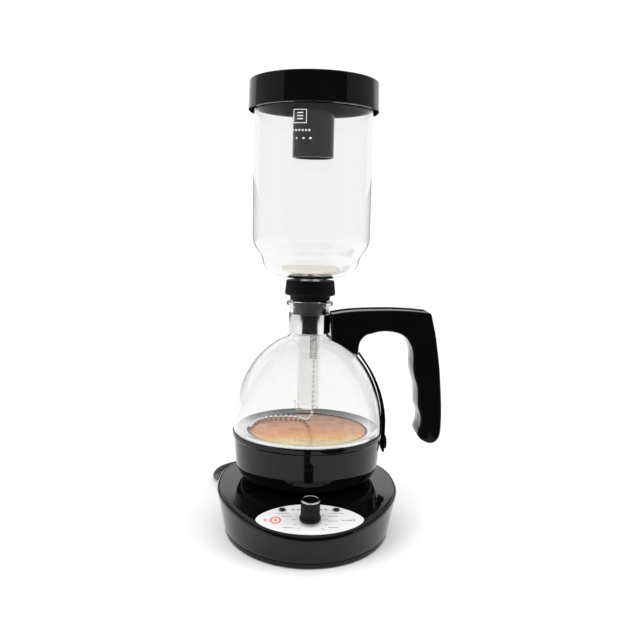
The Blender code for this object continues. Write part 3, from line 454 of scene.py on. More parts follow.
def turned(name, outline, steps=ROUND):
    """A closed outline of (radius, z, rounding) in millimetres turned about Z."""
    rings = [circle(max(radius, 0.0), z, steps) for radius, z in rounded(outline)]
    obj = loft(name, rings, closed=True)
    shape = bmesh.new()
    shape.from_mesh(obj.data)
    bmesh.ops.remove_doubles(shape, verts=shape.verts, dist=1e-6)
    bmesh.ops.dissolve_degenerate(shape, dist=1e-7, edges=shape.edges)
    shape.to_mesh(obj.data)
    shape.free()
    return obj


def pin(name, radius, low, high, steps=32):
    """A plain round bar along Z, used as a cutter."""
    return turned(name, [(0, low), (radius, low), (radius, high), (0, high)], steps)


def place(obj, origin, axis=(0, 0, 1)):
    """Moves a piece's mesh so that its origin and +Z lie on a point and an axis."""
    turn = Vector((0, 0, 1)).rotation_difference(Vector(axis)).to_matrix().to_4x4()
    obj.data.transform(Matrix.Translation(origin) @ turn)
    return obj


def spline(guides, count):
    """Evenly spaced points on a Catmull-Rom curve through the guide points."""
    guides = [Vector(g) for g in guides]
    ends = [2 * guides[0] - guides[1]] + guides + [2 * guides[-1] - guides[-2]]
    fine = []
    for a, b, c, d in zip(ends, ends[1:], ends[2:], ends[3:]):
        for step in range(40):
            t = step / 40
            fine.append(0.5 * (2 * b + (c - a) * t + (2 * a - 5 * b + 4 * c - d) * t ** 2
                               + (3 * b - a - 3 * c + d) * t ** 3))
    fine.append(guides[-1])
    lengths = [0.0]
    for a, b in zip(fine, fine[1:]):
        lengths.append(lengths[-1] + (b - a).length)
    points, at = [], 0
    for i in range(count):
        wanted = lengths[-1] * i / (count - 1)
        while at < len(fine) - 2 and lengths[at + 1] < wanted:
            at += 1
        share = (wanted - lengths[at]) / max(lengths[at + 1] - lengths[at], 1e-9)
        points.append(fine[at].lerp(fine[at + 1], min(share, 1.0)))
    return points


def spline_mm(guides, count):
    return spline([Vector(g) * MM for g in guides], count)


def wire(name, points, radius, sides=4):
    curve = bpy.data.curves.new(name, "CURVE")
    curve.dimensions = "3D"
    curve.bevel_depth = radius
    curve.bevel_resolution = sides
    curve.use_fill_caps = True
    strand = curve.splines.new("POLY")
    strand.points.add(len(points) - 1)
    for point, at in zip(strand.points, points):
        point.co = (*at, 1.0)
    return add_object(name, curve)


def carve(target, cutter):
    """Cuts one mesh with another for good and drops the cutter."""
    modifier = target.modifiers.new("Cut", "BOOLEAN")
    modifier.operation = "DIFFERENCE"
    modifier.solver = "EXACT"
    modifier.object = cutter
    bpy.context.view_layer.update()
    cut = bpy.data.meshes.new_from_object(target.evaluated_get(bpy.context.evaluated_depsgraph_get()))
    target.modifiers.clear()
    target.data = cut
    bpy.data.objects.remove(cutter)
    return target


# ---------------------------------------------------------------- mains cord

CORD_RADIUS = 3.2 * MM
GLAND_FOOT = Vector((-57.0, 44.5, 13.0)) * MM
GLAND_AXIS = Vector((-0.6, 0.8, 0.0))
GLAND_LENGTH = 31.0 * MM
COIL_CENTRE = Vector((14.0, 136.0)) * MM
COIL_OUTER_RADIUS, COIL_STEP = 38.3, 6.6
COIL_START, TAIL_START, TAIL_TURN = 95.0, 172.0, 72.0  # degrees
COIL_TURNS = (COIL_START - TAIL_START + 1440.0) / 360.0


def eased(value, start, end):
    share = min(1.0, max(0.0, (value - start) / (end - start)))
    return share * share * (3 - 2 * share)


def on_coil(angle, radius, z):
    return (COIL_CENTRE.x + radius * MM * math.cos(angle), COIL_CENTRE.y + radius * MM * math.sin(angle),
            z * MM)


def coil_points():
    """Two turns side by side on the floor, two on top of them, then the tail up to the plug."""
    points = []
    steps = int(COIL_TURNS * 32)
    for i in range(steps + 1):
        turns = COIL_TURNS * i / steps
        angle = math.radians(COIL_START - 360.0 * turns)
        radius = COIL_OUTER_RADIUS - COIL_STEP * eased(turns, 0.7, 0.95)
        radius += COIL_STEP * eased(turns, 2.4, 2.65)
        radius -= COIL_STEP / 2 * eased(turns, 3.55, COIL_TURNS)
        z = 3.3 + 6.6 * eased(turns, 1.55, 1.8) + 6.8 * eased(turns, 3.3, 3.55)
        points.append(on_coil(angle, radius, z))
    for i in range(1, 9):
        share = i / 8
        angle = math.radians(TAIL_START - TAIL_TURN * share)
        points.append(on_coil(angle, COIL_OUTER_RADIUS - COIL_STEP / 2, 16.7 + 4.8 * eased(share, 0, 1)))
    return points


def make_cord():
    exit_point = GLAND_FOOT + GLAND_AXIS * (GLAND_LENGTH + 0.3 * MM)
    floor = CORD_RADIUS + 0.1 * MM
    guides = [
        exit_point,
        exit_point + GLAND_AXIS * 6 * MM,
        (-84.6 * MM, 82.6 * MM, 10.2 * MM),
        (-88.8 * MM, 91.4 * MM, 6.2 * MM),
        (-91.3 * MM, 100.5 * MM, 3.9 * MM),
        (-91.8 * MM, 110.5 * MM, floor),
        (-90.2 * MM, 120.5 * MM, floor),
        (-85.8 * MM, 130.0 * MM, floor),
        (-78.2 * MM, 138.6 * MM, floor),
        (-66.0 * MM, 148.0 * MM, floor),
        (-50.0 * MM, 157.5 * MM, floor),
        (-32.0 * MM, 166.2 * MM, floor),
        (-13.2 * MM, 172.4 * MM, floor),
    ]
    coil = coil_points()
    route = spline(guides + [coil[0]], 70)[:-1] + coil
    cord = finish_piece(wire("mains_cord_lead", route, CORD_RADIUS, 5), "base", CORD,
                        ["mains_cord", "mains_cord_coil", "mains_cord_tail"])
    plug = make_plug(Vector(route[-1]), Vector(route[-1]) - Vector(route[-2]))
    plug + [make_gland()]


def make_gland():
    """A tapered strain relief with rings of relief slots."""
    outline = [(1.8, -8.4), (7.4, -8.4, 0.5), (7.4, -6, 0.5), (5.7, -6, 0.3), (5.7, 2, 0.4)]
    for ring in range(7):
        z = 4.0 + 3.2 * ring
        radius = 5.55 - 0.19 * ring
        outline += [(radius, z, 0.2), (radius - 0.8, z + 0.3, 0.2)]
        outline += [(radius - 0.8, z + 1.1, 0.2), (radius - 0.05, z + 1.4, 0.2)]
    outline += [(4.2, 31, 0.5), (1.8, 31)]
    gland = place(turned("cord_strain_relief", outline, 48), GLAND_FOOT, GLAND_AXIS)
    return finish_piece(gland, "base", RUBBER, ["cord_gland"])


def make_plug(end, along):
    """A moulded two-pin plug lying flat on the coil."""
    along.z = 0.0
    along.normalize()
    side = Vector((0, 0, 1)).cross(along)
    stand = Matrix.Translation(end) @ Matrix((Vector((0, 0, 1)), side, along)).transposed().to_4x4()
    sections = [(0.3, 4.0, 4.0), (1.0, 4.4, 4.4), (6, 4.6, 4.6), (6.3, 4.0, 4.0), (7.3, 4.0, 4.0),
                (7.6, 4.9, 4.9), (12, 5.6, 5.8), (17, 7.4, 10.2), (20, 7.9, 11.2), (27, 8.0, 11.3),
                (28, 7.5, 10.7), (29, 8.0, 11.3), (34, 8.0, 11.2), (35, 7.2, 10.3)]
    rings = []
    for distance, high, wide in sections:
        ring = []
        for i in range(48):
            angle = 2 * math.pi * i / 48
            x = math.copysign(abs(math.cos(angle)) ** 0.8, math.cos(angle)) * high
            y = math.copysign(abs(math.sin(angle)) ** 0.8, math.sin(angle)) * wide
            ring.append(stand @ Vector((x * MM, y * MM, distance * MM)))
        rings.append(ring)
    body = finish_piece(loft("plug_body", rings), "base", CORD, ["mains_plug"], 50.0)
    pieces = [body]
    for number, offset in enumerate((-6.35, 6.35), 1):
        rings = []
        for distance, half in ((35.3, 3.1), (49.6, 3.1), (50.9, 2.0)):
            corners = ((-0.75, -half), (0.75, -half), (0.75, half), (-0.75, half))
            rings.append([stand @ (Vector((x, offset + y, distance)) * MM) for x, y in corners])
        blade = loft(f"plug_blade_{number}", rings)
        hole = pin(f"blade_hole_{number}", 1.5, -2, 2, 24)
        across = Matrix.Rotation(math.pi / 2, 4, "Y")
        hole.data.transform(stand @ Matrix.Translation((0, offset * MM, 46 * MM)) @ across)
        pieces.append(finish_piece(carve(blade, hole), "base", BRASS, [f"plug_pin_{number}"]))
    return pieces


make_camera()
make_cord()
make_studio()


# ---------------------------------------------------------------- power base

BASE_HALF_WIDTH, BASE_FRONT, BASE_BACK, BASE_CENTRE_Y = 80.0, 97.0, 81.0, -15.0
BASE_TOP, BASE_DROP, SLOPE_START_Y = 40.3, 11.3, -40.0
KNOB_Y, KNOB_LEAN, KNOB_HEIGHT = -94.0, math.radians(5.0), 20.0
LAMP_X, LAMP_Y = 22.0, -78.0


def base_outline(angle, across, along):
    """A point of the egg-shaped plan, scaled across X and along Y."""
    power, reach = (2.0, BASE_FRONT) if math.sin(angle) < 0 else (2.6, BASE_BACK)
    x = BASE_HALF_WIDTH * math.copysign(abs(math.cos(angle)) ** (2 / power), math.cos(angle))
    y = reach * math.copysign(abs(math.sin(angle)) ** (2 / power), math.sin(angle))
    return x * across, y * along + BASE_CENTRE_Y


def base_top(y):
    fall = max(0.0, SLOPE_START_Y - y) / (SLOPE_START_Y - BASE_CENTRE_Y + BASE_FRONT)
    return BASE_TOP - BASE_DROP * fall ** 2


KNOB_AXIS = Vector((0.0, -math.sin(KNOB_LEAN), math.cos(KNOB_LEAN)))
KNOB_FOOT = Vector((0.0, KNOB_Y, base_top(KNOB_Y))) * MM


def shaft_hole():
    return place(pin("shaft_hole", 3.7, -9, 12), KNOB_FOOT, KNOB_AXIS)


def lamp_holes():
    return [place(pin("lamp_hole", 2.9, 20, 50), (side * LAMP_X * MM, LAMP_Y * MM, 0)) for side in (-1, 1)]


def make_base():
    """The shell: a flared foot, a tapered wall, a rolled crease, then the top in to the socket."""
    steps = 192
    rows = [(0.910, 0.935, 1.0, 0), (0.914, 0.939, 1.3, 0), (0.917, 0.942, 4.2, 0), (0.917, 0.942, 4.6, 0),
            (0.910, 0.936, 4.8, 0), (0.910, 0.936, 5.4, 0), (0.920, 0.945, 5.7, 0), (0.923, 0.948, 6.4, 0)]
    for t in (0.25, 0.5, 0.75, 1.0):
        rows.append((0.923 + 0.068 * t, 0.948 + 0.044 * t, 6.4 * (1 - t) - 6.2 * t, t))
    for step in range(11):
        turn = math.pi / 2 * step / 10
        size = 0.958 + 0.042 * math.cos(turn)
        rows.append((size, size, -3.4 + 3.4 * math.sin(turn), 1.0))
    rows += [(size, size, 0.0, 1.0) for size in (0.93, 0.88, 0.82, 0.76, 0.7)]
    inner_rows = [(0.76, 0.76, -2.4, 1.0), (0.90, 0.90, -2.4, 1.0), (0.952, 0.956, -3.6, 1.0),
                  (0.962, 0.968, -6.8, 1.0), (0.889, 0.917, 5.4, 0), (0.884, 0.912, 1.0, 0)]
    seat = [(47, 0), (43.9, 0), (43.3, 0.5), (43.3, 2), (32.7, 2), (32.7, 0.5), (32.1, 0), (18, 0),
            (16.8, 0.6), (16.8, 2.4), (30.4, 2.4), (31, 4.6), (45, 4.6), (45.6, 2.4)]

    def outline_ring(across, along, height, share):
        spots = [base_outline(2 * math.pi * i / steps, across, along) for i in range(steps)]
        return [(x * MM, y * MM, (height + share * base_top(y)) * MM) for x, y in spots]

    rings = [outline_ring(*row) for row in rows]
    rings += [circle(radius, BASE_TOP - depth, steps) for radius, depth in seat]
    rings += [outline_ring(*row) for row in inner_rows]
    shell = loft("base_shell", rings, closed=True)
    gland_hole = place(pin("gland_hole", 6, -9, 9), GLAND_FOOT, GLAND_AXIS)
    for cutter in [shaft_hole(), gland_hole] + lamp_holes():
        carve(shell, cutter)
    finish_piece(shell, "base", GLOSS_BLACK, ["base_housing"], 32.0)
    for number in range(1, 5):
        low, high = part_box(f"base_foot_{number}")
        middle = (low + high) / 2
        foot = turned(f"rubber_foot_{number}", [(0, 0), (7.2, 0, 0.8), (7.4, 1.2), (0, 1.2)], 64)
        place(foot, (middle[0], middle[1], 0))
        finish_piece(foot, "base", RUBBER, [f"base_foot_{number}"])


# ---------------------------------------------------------------- heat control

LABEL_HALF_WIDTH, LABEL_FRONT, LABEL_MIDDLE, LABEL_BACK = 43.4, -109.0, -91.0, -69.5
LABEL_FACE = 1.1


def lens_edges(x):
    """The label's front and back edges at a distance from its middle."""
    share = max(0.0, 1.0 - (x / LABEL_HALF_WIDTH) ** 2)
    return (LABEL_MIDDLE + (LABEL_FRONT - LABEL_MIDDLE) * share ** 0.62,
            LABEL_MIDDLE + (LABEL_BACK - LABEL_MIDDLE) * share ** 0.7)


def on_label(x, y, lift=0.0):
    return (x * MM, y * MM, (base_top(y) + LABEL_FACE + lift) * MM)


def make_label():
    stations, strips = 96, 12
    rings = []
    for i in range(stations + 1):
        x = -LABEL_HALF_WIDTH * 0.998 * math.cos(math.pi * i / stations)
        front, back = lens_edges(x)
        levels = [front + (back - front) * j / strips for j in range(strips + 1)]
        rings.append([on_label(x, y, -0.8) for y in levels] + [on_label(x, y) for y in reversed(levels)])
    plate = loft("label_plate_print", rings)
    for cutter in [shaft_hole()] + lamp_holes():
        carve(plate, cutter)
    finish_piece(plate, "base", LABEL, ["label_plate"])


def ink(name, strokes, body, finish, surface):
    """Thin printed patches: each stroke is a closed outline in the surface's own two measures."""
    points, faces = [], []
    for stroke in strokes:
        first = len(points)
        points += [surface(a, b) for a, b in stroke]
        faces.append(tuple(range(first, len(points))))
    obj = new_mesh(name, points, faces)
    thick = obj.modifiers.new("Ink", "SOLIDIFY")
    thick.thickness = 0.04 * MM
    thick.offset = 0.0
    obj.data.materials.append(finish)
    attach(obj, body)
    return obj


def bar(x, y, width, height):
    count = max(2, int(width) + 1)
    lower = [(x + width * i / (count - 1), y) for i in range(count)]
    upper = [(x + width * i / (count - 1), y + height) for i in reversed(range(count))]
    return lower + upper


def ring_strokes(x, y, inner, outer, steps=24):
    strokes = []
    for i in range(steps):
        angles = (2 * math.pi * i / steps, 2 * math.pi * (i + 1) / steps)
        strokes.append([(x + r * math.cos(a), y + r * math.sin(a)) for r, a in
                        ((inner, angles[0]), (outer, angles[0]), (outer, angles[1]), (inner, angles[1]))])
    return strokes


def make_label_print():
    """A plain heat scale: growing ticks round the knob, dashes by the lamps and a red ring mark."""

    def face(x, y):
        return on_label(x, y, 0.03)

    strokes = []
    for step in range(11):
        angle = math.radians(225.0 - 27.0 * step)
        centre = Vector((math.cos(angle), math.sin(angle)))
        across = Vector((-centre.y, centre.x)) * 0.3
        near, far = centre * 12.0, centre * (13.6 + 0.12 * step)
        corners = (near - across, far - across, far + across, near + across)
        strokes.append([(p.x, p.y + KNOB_Y) for p in corners])
    for side in (-1, 1):
        strokes += ring_strokes(side * LAMP_X, LAMP_Y, 3.4, 3.7)
        strokes += [bar(side * LAMP_X - 5.5, LAMP_Y - 5.6, 11.0, 0.7)]
    strokes += [bar(x, LAMP_Y - 0.9, 2.6, 1.9) for x in (-14.5, -10.5, 8.0, 12.0)]
    strokes += [bar(25.5 + 2.9 * step, -93.4, 2.1, 1.0 + 0.25 * step) for step in range(4)]
    dashes = ((-23, -87.5), (15, -87.5), (14.5, -94), (-22, -102), (14, -102))
    strokes += [bar(x, y, 8.0, 0.7) for x, y in dashes]
    ink("label_scale", strokes, "base", GREY_INK, face)
    marks = ring_strokes(-27.5, -92.6, 3.0, 4.6) + ring_strokes(-27.5, -92.6, 0.0, 1.5, 12)
    marks.append(bar(-36.5, -94.0, 1.6, 3.4))
    ink("label_mark", marks, "base", RED_INK, face)


def make_knob():
    """A knurled barrel with a flared foot, a bright ring round its top and an inset cap."""
    ribs, per_rib, levels = 30, 6, 44
    bottom, top, radius = 7.0, KNOB_HEIGHT - 1.5, 7.8
    profile = [(2.3, 17.9), (2.3, 4.6), (6.2, 4.6), (6.2, 2.8), (8.5, 2.8), (8.7, 3.0), (8.7, 5.0),
               (8.5, 5.4), (8.0, 6.0), (7.7, 6.5)]
    steps = ribs * per_rib
    rings = [circle(r, z, steps) for r, z in profile]
    for level in range(levels + 1):
        z = bottom + (top - bottom) * level / levels
        ring = []
        for i in range(steps):
            angle = 2 * math.pi * i / steps
            twist = z * 0.42
            cut = abs(math.sin(ribs * angle / 2 + twist)) * abs(math.sin(ribs * angle / 2 - twist))
            fade = min(1.0, level / 3, (levels - level) / 3)
            r = radius - 0.5 * fade * (1 - cut)
            ring.append((r * MM * math.cos(angle), r * MM * math.sin(angle), z * MM))
        rings.append(ring)
    for r, z in ((7.6, top + 0.2), (7.0, top + 0.3), (6.3, top + 0.3), (0.01, top + 0.3), (0.01, 17.9)):
        rings.append(circle(r, z, steps))
    barrel = place(loft("knob_barrel", rings, closed=True), KNOB_FOOT, KNOB_AXIS)
    finish_piece(barrel, "knob", SATIN_BLACK, ["heat_knob"], 60.0)
    low = top + 0.4
    ring = turned("knob_ring", [(6.3, low), (7.7, low, 0.3), (7.7, low + 0.8, 0.4), (6.6, low + 1.1, 0.2),
                                (6.3, low + 0.9)], 96)
    finish_piece(place(ring, KNOB_FOOT, KNOB_AXIS), "knob", FINE_STEEL)
    cap = turned("knob_inset", [(0, low + 0.2), (6.0, low + 0.2), (5.9, low + 0.7, 0.4),
                                (4.6, low + 0.75, 0.6), (0, low + 1.2)], 96)
    finish_piece(place(cap, KNOB_FOOT, KNOB_AXIS), "knob", GLOSS_BLACK, ["knob_cap"])


def make_lamp_lenses():
    top = base_top(LAMP_Y)
    for side, node in ((-1, "heat_lamp"), (1, "power_lamp")):
        lens = turned(f"{node}_lens", [(0, top - 9), (2.4, top - 9), (2.5, top + 1.9, 0.6),
                                       (0, top + 2.6, 3)], 48)
        finish_piece(place(lens, (side * LAMP_X * MM, LAMP_Y * MM, 0)), "base", LENS, [node])


# ---------------------------------------------------------------- carafe

DOME_RADIUS, DOME_HEIGHT, DOME_CENTRE, GLASS_WALL = 67.0, 83.0, 90.0, 1.8
NECK_RADIUS, NECK_TOP = 17.3, 202.0
PLATE_TOP = 84.3


def dome(radius, height, from_z, to_radius, steps=36):
    first = math.asin((from_z - DOME_CENTRE) / height)
    last = math.acos(to_radius / radius)
    angles = [first + (last - first) * i / steps for i in range(steps + 1)]
    return [(radius * math.cos(a), DOME_CENTRE + height * math.sin(a)) for a in angles]


def make_globe():
    outside = dome(DOME_RADIUS, DOME_HEIGHT, 85.5, 20.2)
    inside = dome(DOME_RADIUS - GLASS_WALL, DOME_HEIGHT - GLASS_WALL, 85.5, 18.0)
    bore = NECK_RADIUS - GLASS_WALL
    neck = [(NECK_RADIUS, 171.2, 5), (NECK_RADIUS, 196.6, 2), (20.6, 197.9, 1.6), (20.6, 201.6, 1.6),
            (17.6, NECK_TOP, 1), (bore, 200.4, 2), (bore, 171.0, 5)]
    globe = turned("globe_blown_glass", outside + neck + inside[::-1], 160)
    finish_piece(globe, "carafe", GLASS, ["globe_glass"], 60.0)


def make_pot():
    """The black cup with a flange under its rim and a ledge inside, the plate and the clamp ring."""
    pot = turned("pot_shell", [
        (25.5, 40.9), (50.5, 40.9, 9), (60.2, 44.9, 11), (64.6, 54.0, 20), (66.4, 79.8, 1.2),
        (67.8, 81.0, 0.9), (67.8, 84.9, 0.6), (66.9, 84.9, 0.3), (66.9, 81.2), (61.8, 81.2), (61.8, 60, 12),
        (58.5, 48.4, 10), (50, 43.3, 6), (25.5, 43.3),
    ], 176)
    finish_piece(pot, "carafe", GLOSS_BLACK, ["heater_pot"], 40.0)
    plate = turned("plate_film", [
        (0, 83), (52.4, 83), (52.8, 80), (60.4, 80), (60.4, 80.9), (54.2, 80.9, 0.4),
        (54.2, PLATE_TOP, 0.8), (46, 84.1, 10), (0, PLATE_TOP),
    ], 128)
    finish_piece(plate, "carafe", FILM_PAINTED_HIGHLIGHT, ["heater_plate"])
    seal = turned("clamp_ring", [
        (54.6, 81.5), (66.5, 81.5, 0.4), (66.5, 85.2, 0.4), (64.8, 85.2, 0.2), (64.6, 87.5, 0.5),
        (63.9, 87.6, 0.5), (60.0, 86.3, 4), (55.2, 85.1, 0.4), (54.6, 84.5),
    ], 128)
    finish_piece(seal, "carafe", RING_STEEL_PAINTED_SHADE, ["seal_clamp_ring"])


def make_collar():
    collar = turned("neck_band", [(17.6, 173.7), (18.5, 173.7, 0.35), (18.5, 191, 0.35), (17.6, 191)], 128)
    finish_piece(collar, "carafe", STEEL, ["neck_collar"])
    corners = ((18.7, 176.8), (38.2, 176.8), (38.2, 188.2), (18.7, 188.2))
    ear = extruded("neck_band_ear", [(x * MM, z * MM) for x, z in corners], -0.8 * MM, 0.8 * MM)
    carve(ear, place(pin("ear_hole", 1.8, -3, 3, 24), (30 * MM, 0, 184.5 * MM), (0, 1, 0)))
    finish_piece(ear, "carafe", STEEL)


HANDLE_OUTLINE = [  # from the collar along the top, down the grip, round its toe and back up the inside
    (28.4, 193.4), (37.6, 194.5), (46.8, 195.2), (56.0, 195.6), (65.3, 195.9), (74.5, 196.0), (83.8, 195.8),
    (93.2, 195.4), (100.6, 194.7), (104.6, 194.5), (106.8, 193.7), (107.9, 191.6), (109.3, 185.5),
    (111.9, 174.8), (113.8, 164.0), (115.8, 151.4), (117.2, 140.6), (118.2, 129.7), (119.3, 116.9),
    (120.0, 104.0), (120.1, 92.9), (119.7, 85.5), (118.5, 80.9), (116.2, 77.7), (113.6, 76.1),
    (110.8, 75.6), (106.6, 76.7), (101.9, 79.3), (99.1, 83.2), (99.4, 87.0), (101.0, 92.0), (101.3, 99.0),
    (100.0, 104.5), (98.4, 109.5), (98.1, 116.0), (97.7, 123.0), (96.7, 129.0), (95.0, 134.0),
    (93.5, 139.6), (92.7, 146.0), (92.7, 153.0), (92.1, 158.6), (90.6, 163.8), (88.1, 168.2), (86.0, 171.4),
    (81.4, 174.4), (76.1, 176.2), (70.7, 177.0), (65.4, 177.1), (60.1, 176.4), (54.8, 174.9), (50.0, 173.4),
    (46.6, 170.3), (44.4, 166.6), (43.7, 162.8), (43.3, 157.6),
]
HANDLE_FOOT = [(43.0, 155.0), (36, 158), (27, 163), (18.9, 168), (18.9, 191.6)]
HANDLE_SCREWS = [(30, 184.5), (96, 185.5), (109.5, 92)]
HANDLE_HALF_THICKNESS, HANDLE_SPLIT = 15.0, 0.15
SADDLE_GAP = 0.7


def extruded(name, outline, low, high, soft_side=0, soft=0.0, steps=5):
    """An (x, z) outline in metres extruded along Y. soft_side is the end whose edge is rounded, 0 both."""
    shape = bmesh.new()
    face = shape.faces.new([shape.verts.new((x, low, z)) for x, z in outline])
    made = bmesh.ops.extrude_face_region(shape, geom=[face])
    moved = [v for v in made["geom"] if isinstance(v, bmesh.types.BMVert)]
    bmesh.ops.translate(shape, verts=moved, vec=(0.0, high - low, 0.0))
    for level, side in ((low, -1), (high, 1)):
        is_soft = soft_side != -side
        size, count = (soft, steps) if is_soft else (0.3 * MM, 1)
        if size:
            rim = [e for e in shape.edges if all(abs(v.co.y - level) < 1e-6 for v in e.verts)]
            bmesh.ops.bevel(shape, geom=rim, offset=size, segments=count, affect="EDGES", profile=0.5)
    return from_bmesh(name, shape)


def make_handle():
    line = spline([(x, 0, z) for x, z in HANDLE_OUTLINE], 190)
    outline = [(p.x * MM, p.z * MM) for p in line] + [(x * MM, z * MM) for x, z in HANDLE_FOOT]
    saddle_outline = dome(DOME_RADIUS + SADDLE_GAP, DOME_HEIGHT + SADDLE_GAP, 120, 18.8, 40)
    saddle_outline += [(18.8, 195), (0, 195), (0, 120)]
    for node, side in (("handle_front_half", -1), ("handle_rear_half", 1)):
        low, high = sorted((side * HANDLE_SPLIT * MM, side * HANDLE_HALF_THICKNESS * MM))
        half = extruded(f"{node}_shell", outline, low, high, side, 1.6 * MM)
        carve(half, turned("saddle", saddle_outline, 256))
        if side > 0:
            for x, z in HANDLE_SCREWS:
                carve(half, place(pin("screw_sink", 3.4, 11.6, 16), (x * MM, 0, z * MM), (0, 1, 0)))
        finish_piece(half, "carafe", HANDLE_BLACK, [node], 30.0)
    for number, (x, z) in enumerate(HANDLE_SCREWS, 1):
        screw = make_screw(f"handle_fastener_{number}", -5.5, 11.9, 14.4, 3.1)
        place(screw, (x * MM, 0, z * MM), (0, 1, 0))
        finish_piece(screw, "carafe", FINE_STEEL, [f"handle_screw_{number}"])


def make_screw(name, bottom, seat, top, radius):
    """A pan-head screw with a cross recess."""
    shoulder = (seat + top) / 2
    outline = [(0, bottom), (1.5, bottom + 0.5), (1.5, seat), (radius, seat, 0.2), (radius, shoulder, 0.8),
               (radius * 0.5, top, 1), (0, top)]
    screw = turned(name, outline, 48)
    for width, depth in ((radius * 1.1, 0.7), (0.7, radius * 1.1)):
        half = Vector((width / 2, depth / 2))
        ring = [(-half.x, -half.y), (half.x, -half.y), (half.x, half.y), (-half.x, half.y)]
        levels = ((top - 1.3, 0.75), (top + 1, 1.0))
        carve(screw, loft("recess", [[Vector((x * s, y * s, z)) * MM for x, y in ring] for z, s in levels]))
    return screw


STRAP_PATH = [
    (45.9, 154.3), (50.6, 147.6), (55.5, 140.3), (60.4, 130.7), (64.4, 120.7), (67.2, 110.6), (69.0, 100.2),
    (69.5, 92), (69.4, 84), (69.2, 76), (69.2, 65.6),
]
STRAP_HALF_WIDTH, STRAP_HALF_THICKNESS = 9.0, 0.9
STRAP_SCREW_Z = 72.6


def make_strap():
    path = spline_mm([(x, 0.0, z) for x, z in STRAP_PATH], 60)
    outer, inner = [], []
    for i, point in enumerate(path):
        along = (path[min(i + 1, len(path) - 1)] - path[max(i - 1, 0)]).normalized()
        away = Vector((-along.z, 0.0, along.x)) * STRAP_HALF_THICKNESS * MM
        outer.append(point + away)
        inner.append(point - away)
    outline = [(p.x, p.z) for p in outer + inner[::-1]]
    strap = extruded("strap_band", outline, -STRAP_HALF_WIDTH * MM, STRAP_HALF_WIDTH * MM, 0, 0.35 * MM, 2)
    finish_piece(strap, "carafe", STRAP_BLACK, ["globe_strap"])
    spot = (0, 0, STRAP_SCREW_Z * MM)
    spacer = turned("strap_washer", [(1.9, 66.8), (3.8, 66.8, 0.2), (3.8, 68.0, 0.2), (1.9, 68.0)], 48)
    finish_piece(place(spacer, spot, (1, 0, 0)), "carafe", SATIN_BLACK, ["strap_spacer"])
    screw = turned("strap_thumbscrew", [
        (0, 67), (1.5, 67), (1.5, 70.4), (6.1, 70.4, 0.3), (6.1, 72.2, 0.4), (4.9, 72.8, 0.4),
        (4.5, 72.2, 0.3), (0, 72.4),
    ], 144)
    for vert in screw.data.vertices:
        reach = math.hypot(vert.co.x, vert.co.y)
        if reach > 5.9 * MM:
            rib = 1 + 0.025 * math.cos(24 * math.atan2(vert.co.y, vert.co.x))
            vert.co.x *= rib
            vert.co.y *= rib
    finish_piece(place(screw, spot, (1, 0, 0)), "carafe", SATIN_BLACK, ["strap_screw"])


# ---------------------------------------------------------------- brewing chamber

CHAMBER_RADIUS = 51.6
PRINT_LIFT = 0.1


def make_chamber():
    """One blown piece: straight wall, stepped shoulder, shallow floor and the long tube."""
    outer_curve = [(CHAMBER_RADIUS, 262), (CHAMBER_RADIUS, 257.5), (50.6, 252.4), (48.0, 247.6),
                   (45.0, 243.8), (43.5, 240.8), (42.6, 236.8), (40.4, 232.2), (36.4, 228.2), (30.2, 225.2),
                   (23.0, 223.1), (16.0, 221.9), (12.6, 221.2)]
    inner_curve = [(12.6, 223.1), (16.0, 223.8), (23.0, 224.9), (30.0, 227.0), (35.2, 229.6), (38.6, 233.1),
                   (40.7, 237.2), (41.7, 241.4), (43.4, 244.9), (46.4, 248.6), (48.9, 253.0), (49.8, 257.6),
                   (49.8, 262)]
    outside = [(p.x, p.y) for p in spline([(r, z, 0) for r, z in outer_curve], 60)]
    inside = [(p.x, p.y) for p in spline([(r, z, 0) for r, z in inner_curve], 60)]
    tube = [(10, 220.2, 2.5), (10, 105, 0.7), (8.5, 105, 0.7), (8.5, 222.6, 2.5)]
    outline = [(CHAMBER_RADIUS, 387.1, 0.8)] + outside + tube + inside + [(49.8, 387.1, 0.8)]
    chamber = turned("chamber_blown_glass", outline, 160)
    finish_piece(chamber, "chamber", GLASS, ["chamber_glass"], 60.0)
    stopper = turned("stopper_moulding", [
        (10.3, 187.5), (14.1, 187.5, 0.6), (14.8, 190, 1), (15.0, 200.8, 0.5), (15.8, 202.5, 0.4),
        (17.6, 202.5, 0.4), (18.0, 206.6, 0.6), (21.9, 207.4, 0.8), (22.5, 208.9, 0.8), (21.3, 220.4, 1.2),
        (12.8, 220.4, 0.5), (10.3, 218.8),
    ], 112)
    finish_piece(stopper, "chamber", RUBBER, ["rubber_stopper"])


def on_chamber(x, z):
    """A point of the print, from its distance along the glass and its height."""
    radius = CHAMBER_RADIUS + PRINT_LIFT
    angle = x / radius - math.pi / 2
    return (radius * MM * math.cos(angle), radius * MM * math.sin(angle), z * MM)


def make_chamber_print():
    """A plain square mark, a dashed line and cup ticks in white on the front of the glass."""
    left, top, size, line = -18.6, 360.5, 11.0, 0.6
    bottom = top - size
    strokes = [bar(left, top - line, size, line), bar(left, bottom, size, line),
               bar(left, bottom, line, size), bar(left + size - line, bottom, line, size)]
    strokes += [bar(left + 3, top - 8 + 2.4 * step, 5, 0.9) for step in range(3)]
    strokes += [bar(left - 1 + 2.7 * step, top - 17.2, 1.5, 1.5) for step in range(6)]
    strokes += [bar(left - 3 + 5.4 * step, top - 23.4, 0.8 + 0.4 * step, 1.4) for step in range(4)]
    ink("glass_scale", strokes, "chamber", WHITE_INK, on_chamber)


